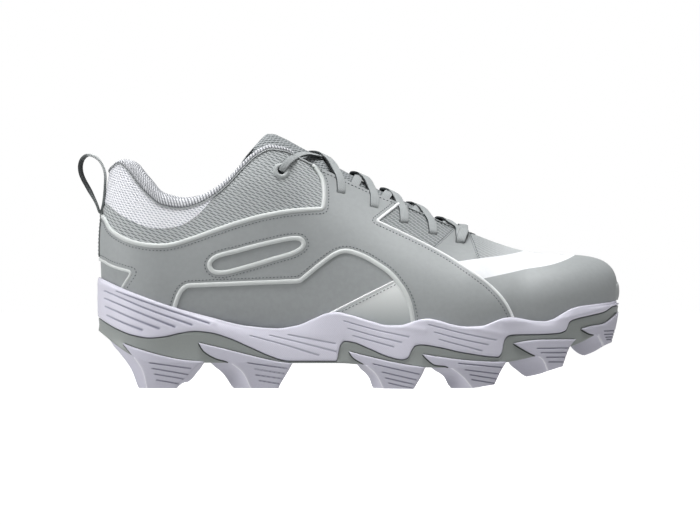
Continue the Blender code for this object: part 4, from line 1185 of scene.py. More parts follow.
# painted shade: the band's step under the foam's edge and its bottom corner are darkened by the second list
cols.append(place(sp, bigp - FLANGE(px_), stepp)); gcol.append(0.9)
cols.append(place(sp, bigp - 1.3, stepp)); gcol.append(0.9)
cols.append(place(sp, bigp - 0.75, stepp - 0.05)); gcol.append(0.5)
cols.append(place(sp, bigp - 0.4, stepp - 0.35)); gcol.append(0.1)
for t in np.linspace(0.08, 1, 12):
    zz = stepp - 0.35 + (zb + 0.6 - stepp + 0.35) * t
    cols.append(place(sp, bigp - 0.32 - 0.35 * math.sin(math.pi * t), zz)); gcol.append(0.0)
for t in (40, 90):
    a = math.radians(t)
    cols.append(place(sp, bigp - 0.32 - 0.7 * (1 - math.cos(a)), zb + 0.6 - 0.6 * math.sin(a))); gcol.append(0.1)
for t in np.linspace(0.96, 0.0, 44):
    rr = (bigp - 1.1) * t
    cols.append(place(sp, rr, basez(rr))); gcol.append(0.0)
Pp = np.stack(cols, 1)
Xc = Pp[:, :, 0]
Yc = Pp[:, :, 1] - CENTRE(Xc)
under = np.zeros_like(Xc)
under[:, -45:] = 1.0
rib = np.exp(-(((Yc - (Xc - 112.0) * 0.42) / 1.6) ** 2)) + np.exp(-(((Yc + (Xc - 112.0) * 0.42) / 1.6) ** 2))
rib += 0.8 * np.exp(-(((np.abs(Yc) - 11.0) / 1.5) ** 2)) * (Xc > 60) * (Xc < 200)
Pp[:, :, 2] -= under * 0.6 * np.clip(rib, 0, 1) * np.exp(-(((Xc - 112) / 62.0) ** 6)) * np.clip((22.0 - np.abs(Yc)) / 5.0, 0, 1)
plate = finish_mesh("plate_band", Pp.reshape(-1, 3), grid_faces(n_p, Pp.shape[1], wrap=True), BAND, smooth=50,
                    attrs={"painted_shade": np.tile(gcol, n_p)}, uv=np.stack([np.repeat(sp, Pp.shape[1]), Pp[..., 2].ravel()], 1), weld=0.00001)
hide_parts("outsole_plate")

# ------------------------------------------------------------ studs
EDGE = {}
for sign in (-1, 1):
    ss = np.linspace(0, HALF, 700) if sign < 0 else 2 * HALF - np.linspace(0, HALF, 700)
    e = place(ss, wide_r(ss) + sole_w(ss), 0.0)
    t = np.gradient(e, axis=0)
    nn = np.stack([t[:, 1], -t[:, 0]], 1)
    nn /= np.linalg.norm(nn, axis=1, keepdims=True)
    if (nn[:, 1] * sign).sum() < 0:
        nn = -nn
    EDGE[sign] = (e, nn)


def side_point(x, z, off, sign):
    """Point on the sole's side at that place on the drawing, moved outward by off."""
    e, nn = EDGE[sign]
    i = np.interp(x, e[:, 0], np.arange(len(e)))
    ex, ey = (np.interp(i, np.arange(len(e)), e[:, c]) for c in (0, 1))
    nx, ny = (np.interp(i, np.arange(len(e)), nn[:, c]) for c in (0, 1))
    return np.stack(np.broadcast_arrays(ex + nx * off, ey + ny * off, z), -1)


STUDS = {
    "heel_rear": dict(
        ridge=[(123.3, 343.3), (128, 349), (133.5, 355.9), (141.2, 367.1), (144.5, 377), (146.3, 388)],
        top=[(123.3, 343.3), (139.4, 349), (159, 354.6), (179, 359), (204.7, 361.5)],
        front=[(204.7, 361.5), (200.5, 363.2), (192, 371.5), (185, 378.5), (180.5, 382.6), (176.9, 388)],
        inner=[(206.6, 361.6), (203, 365), (197, 372), (188.4, 381.9), (183, 382.6), (177.5, 387.9)],
        rear=[(104.5, 335.5), (112, 345), (120.8, 354.9), (131, 369.2), (138.2, 388)],
        lines=[[(150.4, 362.7), (191.2, 368.2)], [(152.9, 368.2), (188.2, 374.3)], [(155.1, 373.9), (186.1, 379)], [(157.1, 379.8), (179, 383.5)]]),
    "heel_front": dict(
        ridge=[(199, 342.5), (204.7, 351), (216.5, 358), (226.9, 361), (236, 366.5), (243.3, 373.3), (250.4, 388)],
        top=[(199, 342.5), (228.4, 349.5), (258, 357), (277.8, 361.3), (292.2, 363.1)],
        front=[(292.2, 363.1), (288, 371), (281, 382.4), (278, 388)],
        rear=[(207.6, 363.1), (215, 367), (222.9, 373.3), (233, 388)],
        lines=[[(248.4, 362.7), (287.1, 368.2)], [(255.5, 368.8), (284.1, 373.3)], [(256.5, 374.7), (282, 378.4)], [(259.6, 380.4), (279, 383.5)]]),
    "ball_rear": dict(
        ridge=[(349, 351.3), (354, 357.6), (364.4, 364.1), (375.9, 374.6), (382.6, 388.5)],
        top=[(349, 351.3), (369.3, 356.3), (388.4, 360.8), (405, 364), (424.7, 367)],
        front=[(424.7, 367), (421, 375), (412.3, 389)],
        rear=[(354.9, 364.1), (368.3, 376.5), (372.5, 388)],
        lines=[[(373.6, 363.7), (419, 373.7)], [(382.6, 371.7), (416, 379.4)], [(385.5, 377.5), (415, 384.2)], [(388.4, 382.6), (412.3, 388)]]),
    "ball_front": dict(
        ridge=[(422.3, 353.8), (428, 359.5), (434.3, 364), (446.7, 366), (462, 376.5), (471.6, 387.6)],
        top=[(422.3, 353.8), (440, 356.6), (460, 359.3), (482, 361), (505.5, 361.4)],
        front=[(505.5, 361.4), (500.3, 370.8), (494.5, 384.2)],
        rear=[(427.6, 367), (442.9, 375.6), (450.1, 388)],
        lines=[[(458.6, 363.1), (502, 367)], [(464.9, 369.3), (500.3, 373.7)], [(469.7, 374.2), (498.4, 378.8)], [(471.6, 379), (496.4, 383.2)]]),
    "tread": dict(
        ridge=[(513, 343), (521, 348), (529, 352.5), (541.4, 359.3), (547.1, 370.8)],
        top=[(513, 343), (524, 341), (536, 339.7), (557.6, 339.2), (574.9, 339.2)],
        front=[(574.9, 339.2), (569.1, 346.5), (562.4, 366)],
        rear=[(507, 360), (513, 367), (519, 371.7), (525.1, 376.9)],
        lines=[[(536.6, 348.2), (568.2, 347.8)], [(540.4, 352.6), (567.2, 352.2)], [(545.8, 357), (565.7, 356.8)], [(548.1, 361.6), (563.4, 361.6)]]),
    "toe": dict(
        ridge=[(581, 328.8), (589.2, 333.4), (595.9, 335.4), (602.6, 345.9)],
        top=[(581, 328.8), (590, 326.2), (605.5, 322.9), (618.9, 312.4)],
        front=[(618.9, 312.4), (616.5, 326), (612.2, 342.1)],
        rear=[(570.7, 345.9), (577.7, 352.5), (583.5, 356)],
        lines=[[(603.6, 331), (615, 330.6)], [(604, 334.4), (614.5, 334)], [(605.5, 337.3), (613.5, 336.7)], [(606.5, 339.6), (612.8, 339.2)]]),
}
na, nb = ((84, 50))


def build_stud(name, d, sign):
    a = np.linspace(0, 1, na)
    R = evenly(bend(d["ridge"]), count=na)
    cut = int(na * 0.62)
    F = np.vstack([evenly(bend(d["top"]), count=cut + 1), evenly(bend(d["front"]), count=na - cut)[1:]])
    b = np.linspace(0, 1, nb)[None, :, None]
    G = R[:, None, :] * (1 - b) + F[:, None, :] * b
    flat = G.reshape(-1, 2)
    x, z = side_x(flat[:, 0]), side_z(flat[:, 1])
    z0_ = BASE(np.clip(x, 0, 270))
    down = np.clip((z0_ - z) / np.maximum(z0_, 1), 0, 1)
    edge = np.minimum(line_distance(flat, bend(d["ridge"])), line_distance(flat, np.vstack([bend(d["top"]), bend(d["front"])])))
    g = scored(flat, d["lines"], 0.3)
    small = name == "toe"
    off = (0.75 if small else 1.0) - (1.0 if small else 2.0) * down - 0.45 * np.exp(-edge / 0.35) - 0.5 * g
    off = off + 0.35 * np.exp(-((line_distance(flat, bend(d["ridge"])) / 1.1) ** 2)) * (down > 0.02)
    face = side_point(x, z, off, sign)
    idx = np.arange(na * nb).reshape(na, nb)
    loop = np.concatenate([idx[0, :], idx[1:, -1], idx[-1, -2::-1], idx[-2:0:-1, 0]])
    fl = flat[loop]
    xs, zs = side_x(fl[:, 0]), side_z(fl[:, 1])
    skirt = side_point(xs, zs, off[loop] - 2.6, sign)
    n0 = na * nb
    Vs = [face, skirt]
    Fs = grid_faces(na, nb).tolist()
    m = len(loop)
    for i in range(m):
        j = (i + 1) % m
        Fs.append([int(loop[i]), int(loop[j]), n0 + j, n0 + i])
    # painted highlight along the ridge between a stud's outer face and its rear face
    pale = 0.85 * np.exp(-((line_distance(flat, bend(d["ridge"])) / 0.55) ** 2)) * (down > 0.03)
    # painted shade: darkening in the face's groove lines and on the skirt that turns in at its edges
    gs = [g * 0.95, np.full(m, 0.35)]
    ps = [pale, np.zeros(m)]
    # the block behind the face
    kk = 13
    lo = max(i for i, p in enumerate(bend(d["ridge"])) if side_z(p[1]) >= BASE(np.clip(side_x(p[0]), 0, 270)) - 0.01)
    A = evenly(bend(d["ridge"])[lo:], count=kk)
    Dd = evenly(bend(d["front"]), count=kk)
    Bb = evenly(bend(d["rear"]), count=kk)
    rings = []
    for i in range(kk):
        t = i / (kk - 1)
        lift = 1.4 * max(0.0, 1 - 4 * t)
        low_lift = 0.1 * max(0.0, 1 - 4 * t)
        pa, pd, pb = A[i], Dd[i], Bb[i]
        ya = (0.5 if small else 0.75) - (1.0 if small else 2.0) * t
        wide = (11.0 if small else 17.0) + ((7.0 if small else 10.5) - (11.0 if small else 17.0)) * t
        o = lambda p, off_, up: side_point(side_x(p[0]), side_z(p[1]) + up, off_, sign)
        oa, od = o(pa, ya - 0.1, low_lift), o(pd, ya - 0.15 - 0.8 * max(0.0, 1 - 5 * t), -0.3 * max(0.0, 1 - 5 * t))
        c = np.array([0.0, -sign, 0.0])
        ob = np.array([side_x(pb[0]), 0, side_z(pb[1]) + lift])
        ob[1] = side_point(np.clip(side_x(pb[0]), 3, 267), 0.0, 0.0, sign)[1] - sign * min(wide, 15.0)
        oc = od + c * wide - np.array([3.0 + 1.5 * t, 0, 0])
        if "inner" in d:
            pi_ = evenly(bend(d["inner"]), count=kk)[i]
            oc[0], oc[2] = side_x(pi_[0]), side_z(pi_[1]) + lift
            mid_c = od * 0.45 + oc * 0.55
        lim = lambda p: np.array([p[0], sign * max(sign * (p[1] - CENTRE(p[0])), 2.5) + CENTRE(p[0]), p[2]])
        ob, oc = lim(ob), lim(oc)
        ring = []
        for u in np.linspace(0, 1, 9):
            p = oa * (1 - u) + ob * u
            p = p + np.array([1.6 * math.sin(math.pi * u) * (0.5 + 0.5 * t), 0, 0])
            ring.append(p)
        for u in np.linspace(0, 1, 6)[1:]:
            ring.append(ob * (1 - u) + oc * u)
        for u in np.linspace(0, 1, 7)[1:]:
            p = oc * (1 - u) + od * u
            if "inner" in d:
                p[0] = od[0] + (oc[0] - od[0]) * min(1.0, (1 - u) * 5.0)
                p[2] = od[2] + (oc[2] - od[2]) * min(1.0, (1 - u) * 5.0)
            else:
                p = p + np.array([1.2 * math.sin(math.pi * u), 0, 0])
            ring.append(p)
        rings.append(ring)
    rings = np.array(rings)
    kk, nr = rings.shape[:2]
    # round the tip a little
    mid = rings[-1].mean(0)
    tipr = rings[-1] + (mid - rings[-1]) * 0.05
    rings[-1, :, 2] += 0.5
    rings = np.concatenate([rings, tipr[None]], 0)
    start = sum(len(v) for v in Vs)
    Vs.append(rings.reshape(-1, 3))
    Fs += (ring_faces(kk + 1, nr) + start).tolist()
    Fs.append([start + kk * nr + j for j in range(nr)])
    gs.append(np.zeros((kk + 1) * nr))
    ps.append(np.zeros((kk + 1) * nr))
    # the tips stand on the floor
    verts = np.vstack(Vs)
    low = min(verts[:, 2].min(), 0.02)
    verts[:, 2] = np.where(verts[:, 2] < 1.5, 0.02 + (verts[:, 2] - low) * 1.48 / (1.5 - low), verts[:, 2])
    ob = finish_mesh(f"stud_{name}_{'lateral' if sign < 0 else 'medial'}_v", verts, Fs, STUD, smooth=32, attrs={"painted_shade": np.concatenate(gs), "pale": np.concatenate(ps)})
    recalc(ob)
    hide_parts(f"stud_{name}_{'lateral' if sign < 0 else 'medial'}")


for nm, d in STUDS.items():
    for sign in (-1, 1):
        build_stud(nm, d, sign)

# painted shadow lines in the band beneath and above each stud's point: dark strips along the undercut, faint grey ones
# along the top edge
undercut_shadow_strips, edge_shadow_strips = Bag(), Bag()
for nm, d in STUDS.items():
    for sign in (-1, 1):
        for bag, key, shift, width, reach in ((undercut_shadow_strips, "ridge", 0.75, 0.75, 0.1), (edge_shadow_strips, "top", -0.55, 0.4, 0.9)):
            q = evenly(bend(d[key]), step=1.6)
            x, z = side_x(q[:, 0]), side_z(q[:, 1])
            ok = z > BASE(np.clip(x, 0, 270)) + reach
            q, x, z = q[ok], x[ok], z[ok]
            if len(q) < 4:
                continue
            t2 = np.gradient(q, axis=0)
            t2 /= np.linalg.norm(t2, axis=1, keepdims=True)
            q2 = q + np.stack([-t2[:, 1], t2[:, 0]], 1) * shift
            P = side_point(side_x(q2[:, 0]), side_z(q2[:, 1]), -0.3, sign)
            O = side_point(side_x(q2[:, 0]), side_z(q2[:, 1]), 0.7, sign) - P
            sweep(bag, P, O / np.linalg.norm(O, axis=1, keepdims=True), False, dome(width, 0.16, 5, 0.3))
undercut_shadow_strips.make("plate_undercut_shadows", Look("undercut_shadow_dark", lin("#3E4341"), 0.7).mat)
edge_shadow_strips.make("plate_edge_shadows", Look("edge_shadow_grey", lin("#676C6A"), 0.7).mat)

rings = []
for t in np.linspace(0, 1, 9):
    a = np.linspace(0, 2 * math.pi, 24, endpoint=False)
    hx, hy = 9.5 - 3.0 * t, 9.0 - 3.0 * t
    if t == 1:
        hx, hy = hx - 0.6, hy - 0.6
    x, y = 152 + hx * np.cos(a), 4 + hy * np.sin(a)
    z = BASE(x) + 0.3 + (1.5 - BASE(x) - 0.3) * (t if t < 1 else 1.0) + (0.35 if 0.85 < t < 1 else 0)
    rings.append(np.stack([x, y, z], 1))
Pc = np.array(rings)
ob = finish_mesh("stud_centre_v", Pc.reshape(-1, 3), ring_faces(9, 24).tolist() + [[8 * 24 + j for j in range(24)]], STUD, smooth=35, attrs={"painted_shade": np.zeros(9 * 24)})
recalc(ob)
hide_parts("stud_centre")

# ------------------------------------------------------------ collar lining
def knit_look():
    k = Look("collar_knit", lin("#CDD0D4"), 0.9)
    k.bsdf.inputs["Specular IOR Level"].default_value = 0.2
    u, v = k.uv()
    rib = k.calc("PINGPONG", k.calc("DIVIDE", k.calc("MULTIPLY_ADD", v, 0.3, u), 0.76), 1.0)
    knot = k.calc("PINGPONG", k.calc("DIVIDE", v, 0.75), 1.0)
    d = k.calc("MULTIPLY", k.step(rib, 0.1, 0.75), k.step(knot, 0.0, 0.5, 0.55, 1.0))
    grain = k.noise(1500.0, 2.0)
    ground = k.mix(d, lin("#8A8D92"), lin("#E4E5E9"))
    k.base(k.mix(k.attr("shade"), ground, lin("#5A5D62")))
    k.bump(k.calc("MULTIPLY_ADD", grain, 0.2, d), 0.0003, 0.9)
    return k.mat


KNIT = knit_look()
M_END = mark("x", 101.0)
PADDING = pchip([0, mark("x", 50), mark("x", 70), mark("x", 84), mark("x", 110)], [7.2, 6.2, 4.0, 1.9, 1.6])
DEPTH = pchip([0, mark("x", 50), mark("x", 70), mark("x", 84), mark("x", 110)], [30.0, 28.0, 18.0, 4.0, 3.0])
ROLL = pchip([mark(*k) for k in (("heel", 180), ("heel", 160), ("heel", 145), ("heel", 131), ("heel", 120), ("heel", 107), ("x", 34), ("x", 43),
                              ("x", 51), ("x", 60), ("x", 68), ("x", 76), ("x", 83), ("x", 97), ("x", 110))],
             [0.9, 1.0, 1.9, 5.0, 7.6, 7.8, 6.1, 5.0, 4.4, 4.2, 4.1, 3.9, 3.3, 2.6, 1.8])
n_l = 330
ml = np.linspace(0, M_END, n_l)
sl = np.concatenate([2 * HALF - ml[:0:-1], ml])
sl[: n_l - 1] %= 2 * HALF
mside = along(sl)[0]
edge = shell(sl, 1.0)
stepl = np.linalg.norm(edge - shell(sl, 0.9), axis=1) / 0.1
n1 = shell_normal(sl, 0.985)
upl = edge - shell(sl, 0.985)
upl /= np.linalg.norm(upl, axis=1, keepdims=True)
pad, depth, roll = PADDING(mside), DEPTH(mside), ROLL(mside)


def inside(down, inset):
    q = np.maximum(0.3, 1.0 - down / stepl)
    return shell(sl, q) - shell_normal(sl, np.minimum(q, 0.985)) * np.broadcast_to(inset, sl.shape)[:, None]


col = lambda v: np.asarray(v)[:, None] if np.ndim(v) else v
ctrl = [
    inside(depth * 0.6, WALL + 0.4), inside(depth * 0.2, WALL + 0.4),
    edge - n1 * 1.2 + upl * 0.1, edge + n1 * 0.35 - upl * 0.2, edge + n1 * 0.75 + upl * col(0.3 * roll),
    edge + n1 * 0.35 + upl * col(0.68 * roll), edge - n1 * 0.9 + upl * col(0.92 * roll), edge - n1 * col(1.6 + 0.45 * pad) + upl * col(roll),
    edge - n1 * col(WALL + 0.65 + 0.85 * pad) + upl * col(0.55 * roll), inside(0.08 * depth, WALL + 0.65 + pad),
    inside(0.5 * depth, WALL + 0.65 + 0.8 * pad), inside(0.98 * depth, WALL + 1.45),
]
C = np.stack(ctrl, 1)
per = 6
out = []
for i in range(len(sl)):
    out.append(bend(C[i], per))
Pl = np.array(out)
Pl[:, :, 2] += 0.0
arc = np.concatenate([np.zeros((len(sl), 1)), np.cumsum(np.linalg.norm(np.diff(Pl, axis=1), axis=2), 1)], 1)
walk = np.concatenate([[0], np.cumsum(np.linalg.norm(np.diff(edge, axis=0), axis=1))])
uvl = np.stack([np.broadcast_to(walk[:, None], arc.shape), arc], -1).reshape(-1, 2)
turn = np.linspace(0, len(ctrl) - 1, Pl.shape[1])
dim = np.clip((3.75 - turn) / 0.5, 0, 1) * 0.9 + np.interp(turn, [8.0, 8.8, 10.0], [0.0, 0.3, 0.6])
lining = finish_mesh("collar_knit", Pl.reshape(-1, 3), grid_faces(len(sl), Pl.shape[1]), KNIT, smooth=80, uv=uvl, attrs={"shade": np.tile(dim, len(sl))})
recalc(lining)
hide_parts("collar_lining")

# ------------------------------------------------------------ tongue
TONGUE = [
    (201.0, 74.6, 12.0, 2.4, 12, 2.2), (194.0, 76.9, 15.0, 4.2, 14, 2.6), (187.0, 80.6, 18.0, 7.0, 16, 2.8),
    (176.0, 87.4, 21.0, 9.8, 18, 3.0), (162.0, 95.0, 23.0, 12.0, 20, 3.2), (146.0, 102.7, 25.0, 14.4, 21, 3.6),
    (130.0, 111.0, 26.0, 16.0, 22, 4.2), (116.0, 119.2, 26.0, 17.0, 24, 5.0), (104.0, 125.2, 25.6, 17.0, 26, 5.4),
    (95.5, 129.8, 24.4, 19.5, 33, 5.2), (90.5, 131.8, 23.4, 20.5, 38, 4.4), (87.6, 131.9, 22.4, 20.5, 40, 2.6),
]
tt = np.array(TONGUE)
spine = np.concatenate([[0], np.cumsum(np.hypot(np.diff(tt[:, 0]), np.diff(tt[:, 1])))])
n_t, n_c = ((130, 56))
td = np.linspace(0, spine[-1], n_t)
tx, tz, th, tf, tb, tk = (pchip(spine, tt[:, i])(td) for i in range(6))
tang = np.gradient(np.stack([tx, tz], 1), axis=0)
tang /= np.linalg.norm(tang, axis=1, keepdims=True)
nx, nz = tang[:, 1], -tang[:, 0]
c = np.linspace(-1, 1, n_c)[None, :]
soft = 0.5 * np.sin(td[:, None] / 5.5) * np.clip(1 - np.abs(c), 0, 1) * 0.35
fall = tf[:, None] * np.abs(c) ** 2
br = np.radians(tb)[:, None]
Xt = tx[:, None] - fall * np.sin(br)
Zt = tz[:, None] - fall * np.cos(br)
Yt = CENTRE(tx)[:, None] + c * th[:, None]
topf = np.stack([Xt + nx[:, None] * soft, Yt, Zt + nz[:, None] * soft], -1)
t3 = tk[:, None] * (1.0 - 0.45 * np.abs(c) ** 3)
lowf = np.stack([Xt - nx[:, None] * t3, Yt - c * 0.9, Zt - nz[:, None] * t3], -1)
mid = 0.5 * (topf[:, -1:] + lowf[:, -1:]) + np.array([0, 0.7, 0])
mid0 = 0.5 * (topf[:, :1] + lowf[:, :1]) - np.array([0, 0.7, 0])
Pt = np.concatenate([topf, mid, lowf[:, ::-1], mid0], 1)
nr = Pt.shape[1]
arc = np.concatenate([np.zeros((n_t, 1)), np.cumsum(np.linalg.norm(np.diff(Pt, axis=1), axis=2), 1)], 1)
uvt = np.stack([arc, np.broadcast_to(td[:, None], arc.shape)], -1).reshape(-1, 2)
# the end is closed with a soft roll
endm = Pt[-1].mean(0)
dirn = np.array([tang[-1, 0], 0, tang[-1, 1]])
Fx = ring_faces(n_t, nr).tolist()
extra = []
for kx, sc in ((0.5, 0.86), (0.9, 0.6), (1.0, 0.2)):
    extra.append(endm + (Pt[-1] - endm) * np.array([1, 0.9 + 0.1 * sc, 1]) * np.array([sc, 1 if sc > 0.5 else 0.97, sc]) + dirn * 1.2 * kx)
Pt_all = np.concatenate([Pt.reshape(-1, 3)] + extra)
Fx = ring_faces(n_t + 3, nr).tolist() + [[(n_t + 2) * nr + j for j in range(nr)], list(range(nr))[::-1]]
uvt = np.vstack([uvt] + [np.stack([arc[-1], np.full(nr, td[-1] + 1.0 + i)], 1) for i in range(3)])
TONGUE_MESH = mesh_look("mesh_tongue", "#9B9FA1", "#484D4F", 2.5, 1.7, 0.0, 0.0003, long=0.8, high=0.5, tilt=0.9)
tongue = finish_mesh("tongue_pad", Pt_all, Fx, TONGUE_MESH, smooth=80, uv=uvt)
recalc(tongue)
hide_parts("tongue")


def tongue_top(x, y):
    line = []
    for rx, rz, half, fall_, back, thick in TONGUE[::-1]:
        cc = min(1.0, abs(y - float(CENTRE(rx))) / half)
        f = fall_ * cc**2
        line.append((rx - f * math.sin(math.radians(back)), rz - f * math.cos(math.radians(back))))
    line = np.array(sorted(line))
    return float(np.interp(x, line[:, 0], line[:, 1]))


def tongue_normal(x, y):
    gx = (tongue_top(x + 3, y) - tongue_top(x - 3, y)) / 6
    gy = (tongue_top(x, y + 3) - tongue_top(x, y - 3)) / 6
    n = np.array([-gx, -gy, 1.0])
    return n / np.linalg.norm(n)


# ------------------------------------------------------------ laces
def lace_look():
    k = Look("lace_woven", lin("#AEB1B1"), 0.75)
    k.bsdf.inputs["Specular IOR Level"].default_value = 0.3
    u, v = k.uv()
    rib = k.calc("PINGPONG", k.calc("DIVIDE", v, 0.42), 1.0)
    weave = k.calc("PINGPONG", k.calc("DIVIDE", k.calc("ADD", u, k.calc("MULTIPLY", v, 0.6)), 0.5), 1.0)
    h = k.calc("MULTIPLY", rib, weave)
    ground = k.mix(k.step(h, 0.05, 0.8), lin("#9DA1A2"), lin("#B2B6B7"))
    # painted shade: the strip's face darkened near its long edges
    rim = k.calc("ABSOLUTE", k.calc("SUBTRACT", v, 0.5 * WIDTH))
    ground = k.mix(k.step(rim, 0.5 * WIDTH - 0.45, 0.5 * WIDTH, 0.0, 0.45), ground, lin("#6C7071"))
    # painted shade: the strip's sides and underside painted near-black
    k.base(k.mix(k.step(v, WIDTH + 0.3, WIDTH + 4.0), ground, lin("#3F4345")))
    k.bump(h, 0.00015, 0.7)
    return k.mat


WIDTH, THICK = 4.9, 1.1
LACE = lace_look()


def flat_strip(bag, P, Nn, width, thick, narrow=None):
    """Flat woven strip with rounded edges; Nn is the way its face looks."""
    t = tangents(P, False)
    B = np.cross(t, Nn)
    B /= np.linalg.norm(B, axis=1, keepdims=True)
    N2 = np.cross(B, t)
    w = np.full(len(P), width) if narrow is None else narrow
    prof = []
    for u in np.linspace(-1, 1, 9):
        prof.append((u * 0.5, 0.5 * (1 - 0.25 * abs(u) ** 4)))
    prof += [(0.5 + 0.0, 0.0)]
    for u in np.linspace(1, -1, 9):
        prof.append((u * 0.5, -0.5 * (1 - 0.25 * abs(u) ** 4)))
    prof += [(-0.5, 0.0)]
    pr = np.array(prof)
    pr[:, 0] *= 0.96
    pr[9, 0], pr[19, 0] = 0.5, -0.5
    Vv = P[:, None] + B[:, None] * (pr[None, :, 0:1] * w[:, None, None]) + N2[:, None] * (pr[None, :, 1:2] * thick)
    kk = len(pr)
    d = np.concatenate([[0], np.cumsum(np.linalg.norm(np.diff(P, axis=0), axis=1))])
    across = np.concatenate([np.linspace(0, width, 9), [width + 20], np.linspace(width, 0, 9) + 50, [width + 20]])
    uv = np.stack(np.broadcast_arrays(d[:, None], across[None, :]), -1).reshape(-1, 2)
    faces = ring_faces(len(P), kk).tolist() + [list(range(kk))[::-1], [(len(P) - 1) * kk + j for j in range(kk)]]
    bag.add(Vv.reshape(-1, 3), faces, uv)


def smooth_path(pts, normals, step=0.8):
    P = bend(pts, 12)
    Nn = np.stack([np.interp(np.linspace(0, 1, len(P)), np.linspace(0, 1, len(normals)), np.array(normals)[:, i]) for i in range(3)], 1)
    P, Nn = evenly(P, step=step, extra=Nn)
    for _ in range(3):
        Nn[1:-1] = 0.5 * Nn[1:-1] + 0.25 * (Nn[2:] + Nn[:-2])
    return P, Nn / np.linalg.norm(Nn, axis=1, keepdims=True)


def throat_edge(x, side):
    s = mark("x", x)
    s = s if side < 0 else 2 * HALF - s
    return shell(s, 1.0), shell_normal(s, 0.985)


def on_side(x, z, side, lift):
    P, n, _, _ = spot(x, z, side)
    return P + n * lift, n


# centre line of each bar as seen from the side, from its slot: (forward, up)
SIDE = [
    [(-0.2, 3.3), (-1.0, 6.6), (-3.8, 10.0), (-6.6, 12.0), (-10.6, 12.5)],
    [(-0.4, 2.6), (-0.9, 5.3), (-3.0, 10.6), (-5.4, 13.6), (-8.2, 15.2), (-11.6, 15.1)],
    [(-0.2, 2.5), (-0.4, 5.0), (-1.9, 10.4), (-3.6, 13.7), (-6.2, 16.0), (-9.8, 16.9)],
    [(0.0, 2.6), (-0.1, 5.3), (-1.0, 10.3), (-3.3, 14.8), (-6.2, 17.2), (-9.8, 17.9)],
    [(-0.2, 3.4), (-0.8, 6.9), (-2.4, 12.2), (-5.2, 16.8), (-9.0, 19.9), (-13.0, 21.0)],
]
LANDS = [9.0, 9.8, 10.6, 10.9]  # how far back of its slot each bar reaches the other side
laces = Bag()
down = np.array([0.0, 0.0, -1.0])


def unit(v):
    return v / np.linalg.norm(v)


for i in range(5):
    for side in (-1, 1):
        over_ = side < 0  # one of each crossing lies above the other
        c0, n0, a0_ = slot_at[side, i]
        x0, z0 = SLOTS[i][:2]
        trace = SIDE[i]
        pts, nrm = [c0 - n0 * 2.2, c0 + n0 * 0.45], [unit(n0 * 0.3 + down), unit(n0 + down * 0.6)]
        first = min(k for k, (dx, dz) in enumerate(trace) if z0 + dz > throat_edge(x0 + dx, side)[0][2] - 0.3)
        for k, (dx, dz) in enumerate(trace if over_ else trace[:-1]):
            x, z = x0 + dx, z0 + dz
            if k < first:
                p, n = on_side(x, z, side, 1.3)
            else:
                e, en = throat_edge(x, side)
                g = (k - first + 0.5) / (len(trace) - 2 - first + 0.5)
                y = float(CENTRE(x)) + side * abs(e[1] - float(CENTRE(x))) * (1.0 - g) if g <= 1 else float(CENTRE(x)) - side * 4.0
                g = min(g, 1.0)
                z = max(z - (0.0 if over_ else 1.3 * g), tongue_top(x, y) + 0.8)
                p, n = np.array([x, y, z]), unit(en * (1 - g) + np.array([0.2, -side * 0.3, 1.0]) * g)
            pts.append(p)
            nrm.append(n)
        if i < 4:
            xf = x0 - LANDS[i]
            e1, en1 = throat_edge(xf, -side)
            half = abs(e1[1] - float(CENTRE(xf)))
            for f, dx, lift in (((0.5, 0.6, 1.1), (0.8, 0.2, 0.8), (0.97, 0.0, 0.6), (1.1, -0.6, 0.6)) if over_ else ((0.28, 3.3, 1.5), (0.55, 2.2, 1.2), (0.8, 1.0, 0.8), (0.97, 0.2, 0.6), (1.1, -0.6, 0.6))):
                y = float(CENTRE(xf)) - side * (half - 1.6) * f
                pts.append(np.array([xf + dx, y, tongue_top(xf + dx, y) + lift]))
                nrm.append(tongue_normal(xf + dx, y))
            P, Nn = smooth_path(pts, nrm)
            flat_strip(laces, P, Nn, WIDTH, THICK)
        else:
            c1, n1_, _ = slot_at[-side, "eyelet"]
            for x, z, f in ((107.8, 121.2, 0.62), (102.9, 119.9, 0.95)):
                e1, en1 = throat_edge(x, -side)
                y = float(CENTRE(x)) - side * abs(e1[1] - float(CENTRE(x))) * f
                pts.append(np.array([x, y - side * 0.8 * f, max(z, tongue_top(x, y) + 0.8)]))
                nrm.append(unit(en1 * f + np.array([0, 0, 1.0])))
            for x, z, lift in ((98.2, 116.4, 2.0), (96.0, 113.4, 1.5), (95.2, 112.2, 0.3), (95.2, 112.2, -2.5)):
                p, n = on_side(x, z, -side, lift)
                pts.append(p)
                nrm.append(n if lift > 1 else unit(n + np.array([0.6, 0, 0.6])))
            P, Nn = smooth_path(pts, nrm)
            t = np.linspace(0, 1, len(P))
            w = WIDTH - (WIDTH - 3.5) * np.clip((t - 0.5) / 0.2, 0, 1)
            flat_strip(laces, P, Nn, WIDTH, THICK * 1.15, narrow=w)
# straight bar across the lowest pair of slots, over the others
ends = []
for side in (-1, 1):
    c0, n0, _ = slot_at[side, 0]
    x0, z0 = SLOTS[0][:2]
    pts, nrm = [c0 - n0 * 2.2, c0 + n0 * 1.2], [unit(n0 * 0.3 + down), unit(n0 + down * 0.6)]
    for dx, dz, lift in ((0.7, 2.2, 2.5), (1.4, 4.2, 2.8)):
        p, n = on_side(x0 + dx, z0 + dz, side, lift)
        pts.append(p)
        nrm.append(n)
    for dx, dz, f in ((2.1, 6.9, 0.86), (2.0, 8.8, 0.5)):
        e, en = throat_edge(x0 + dx, side)
        y = float(CENTRE(x0 + dx)) + side * abs(e[1] - float(CENTRE(x0 + dx))) * f
        pts.append(np.array([x0 + dx, y, max(z0 + dz, tongue_top(x0 + dx, y) + 1.9)]))
        nrm.append(unit(en * f + np.array([0.1, 0, 1.0])))
    ends.append((pts, nrm))
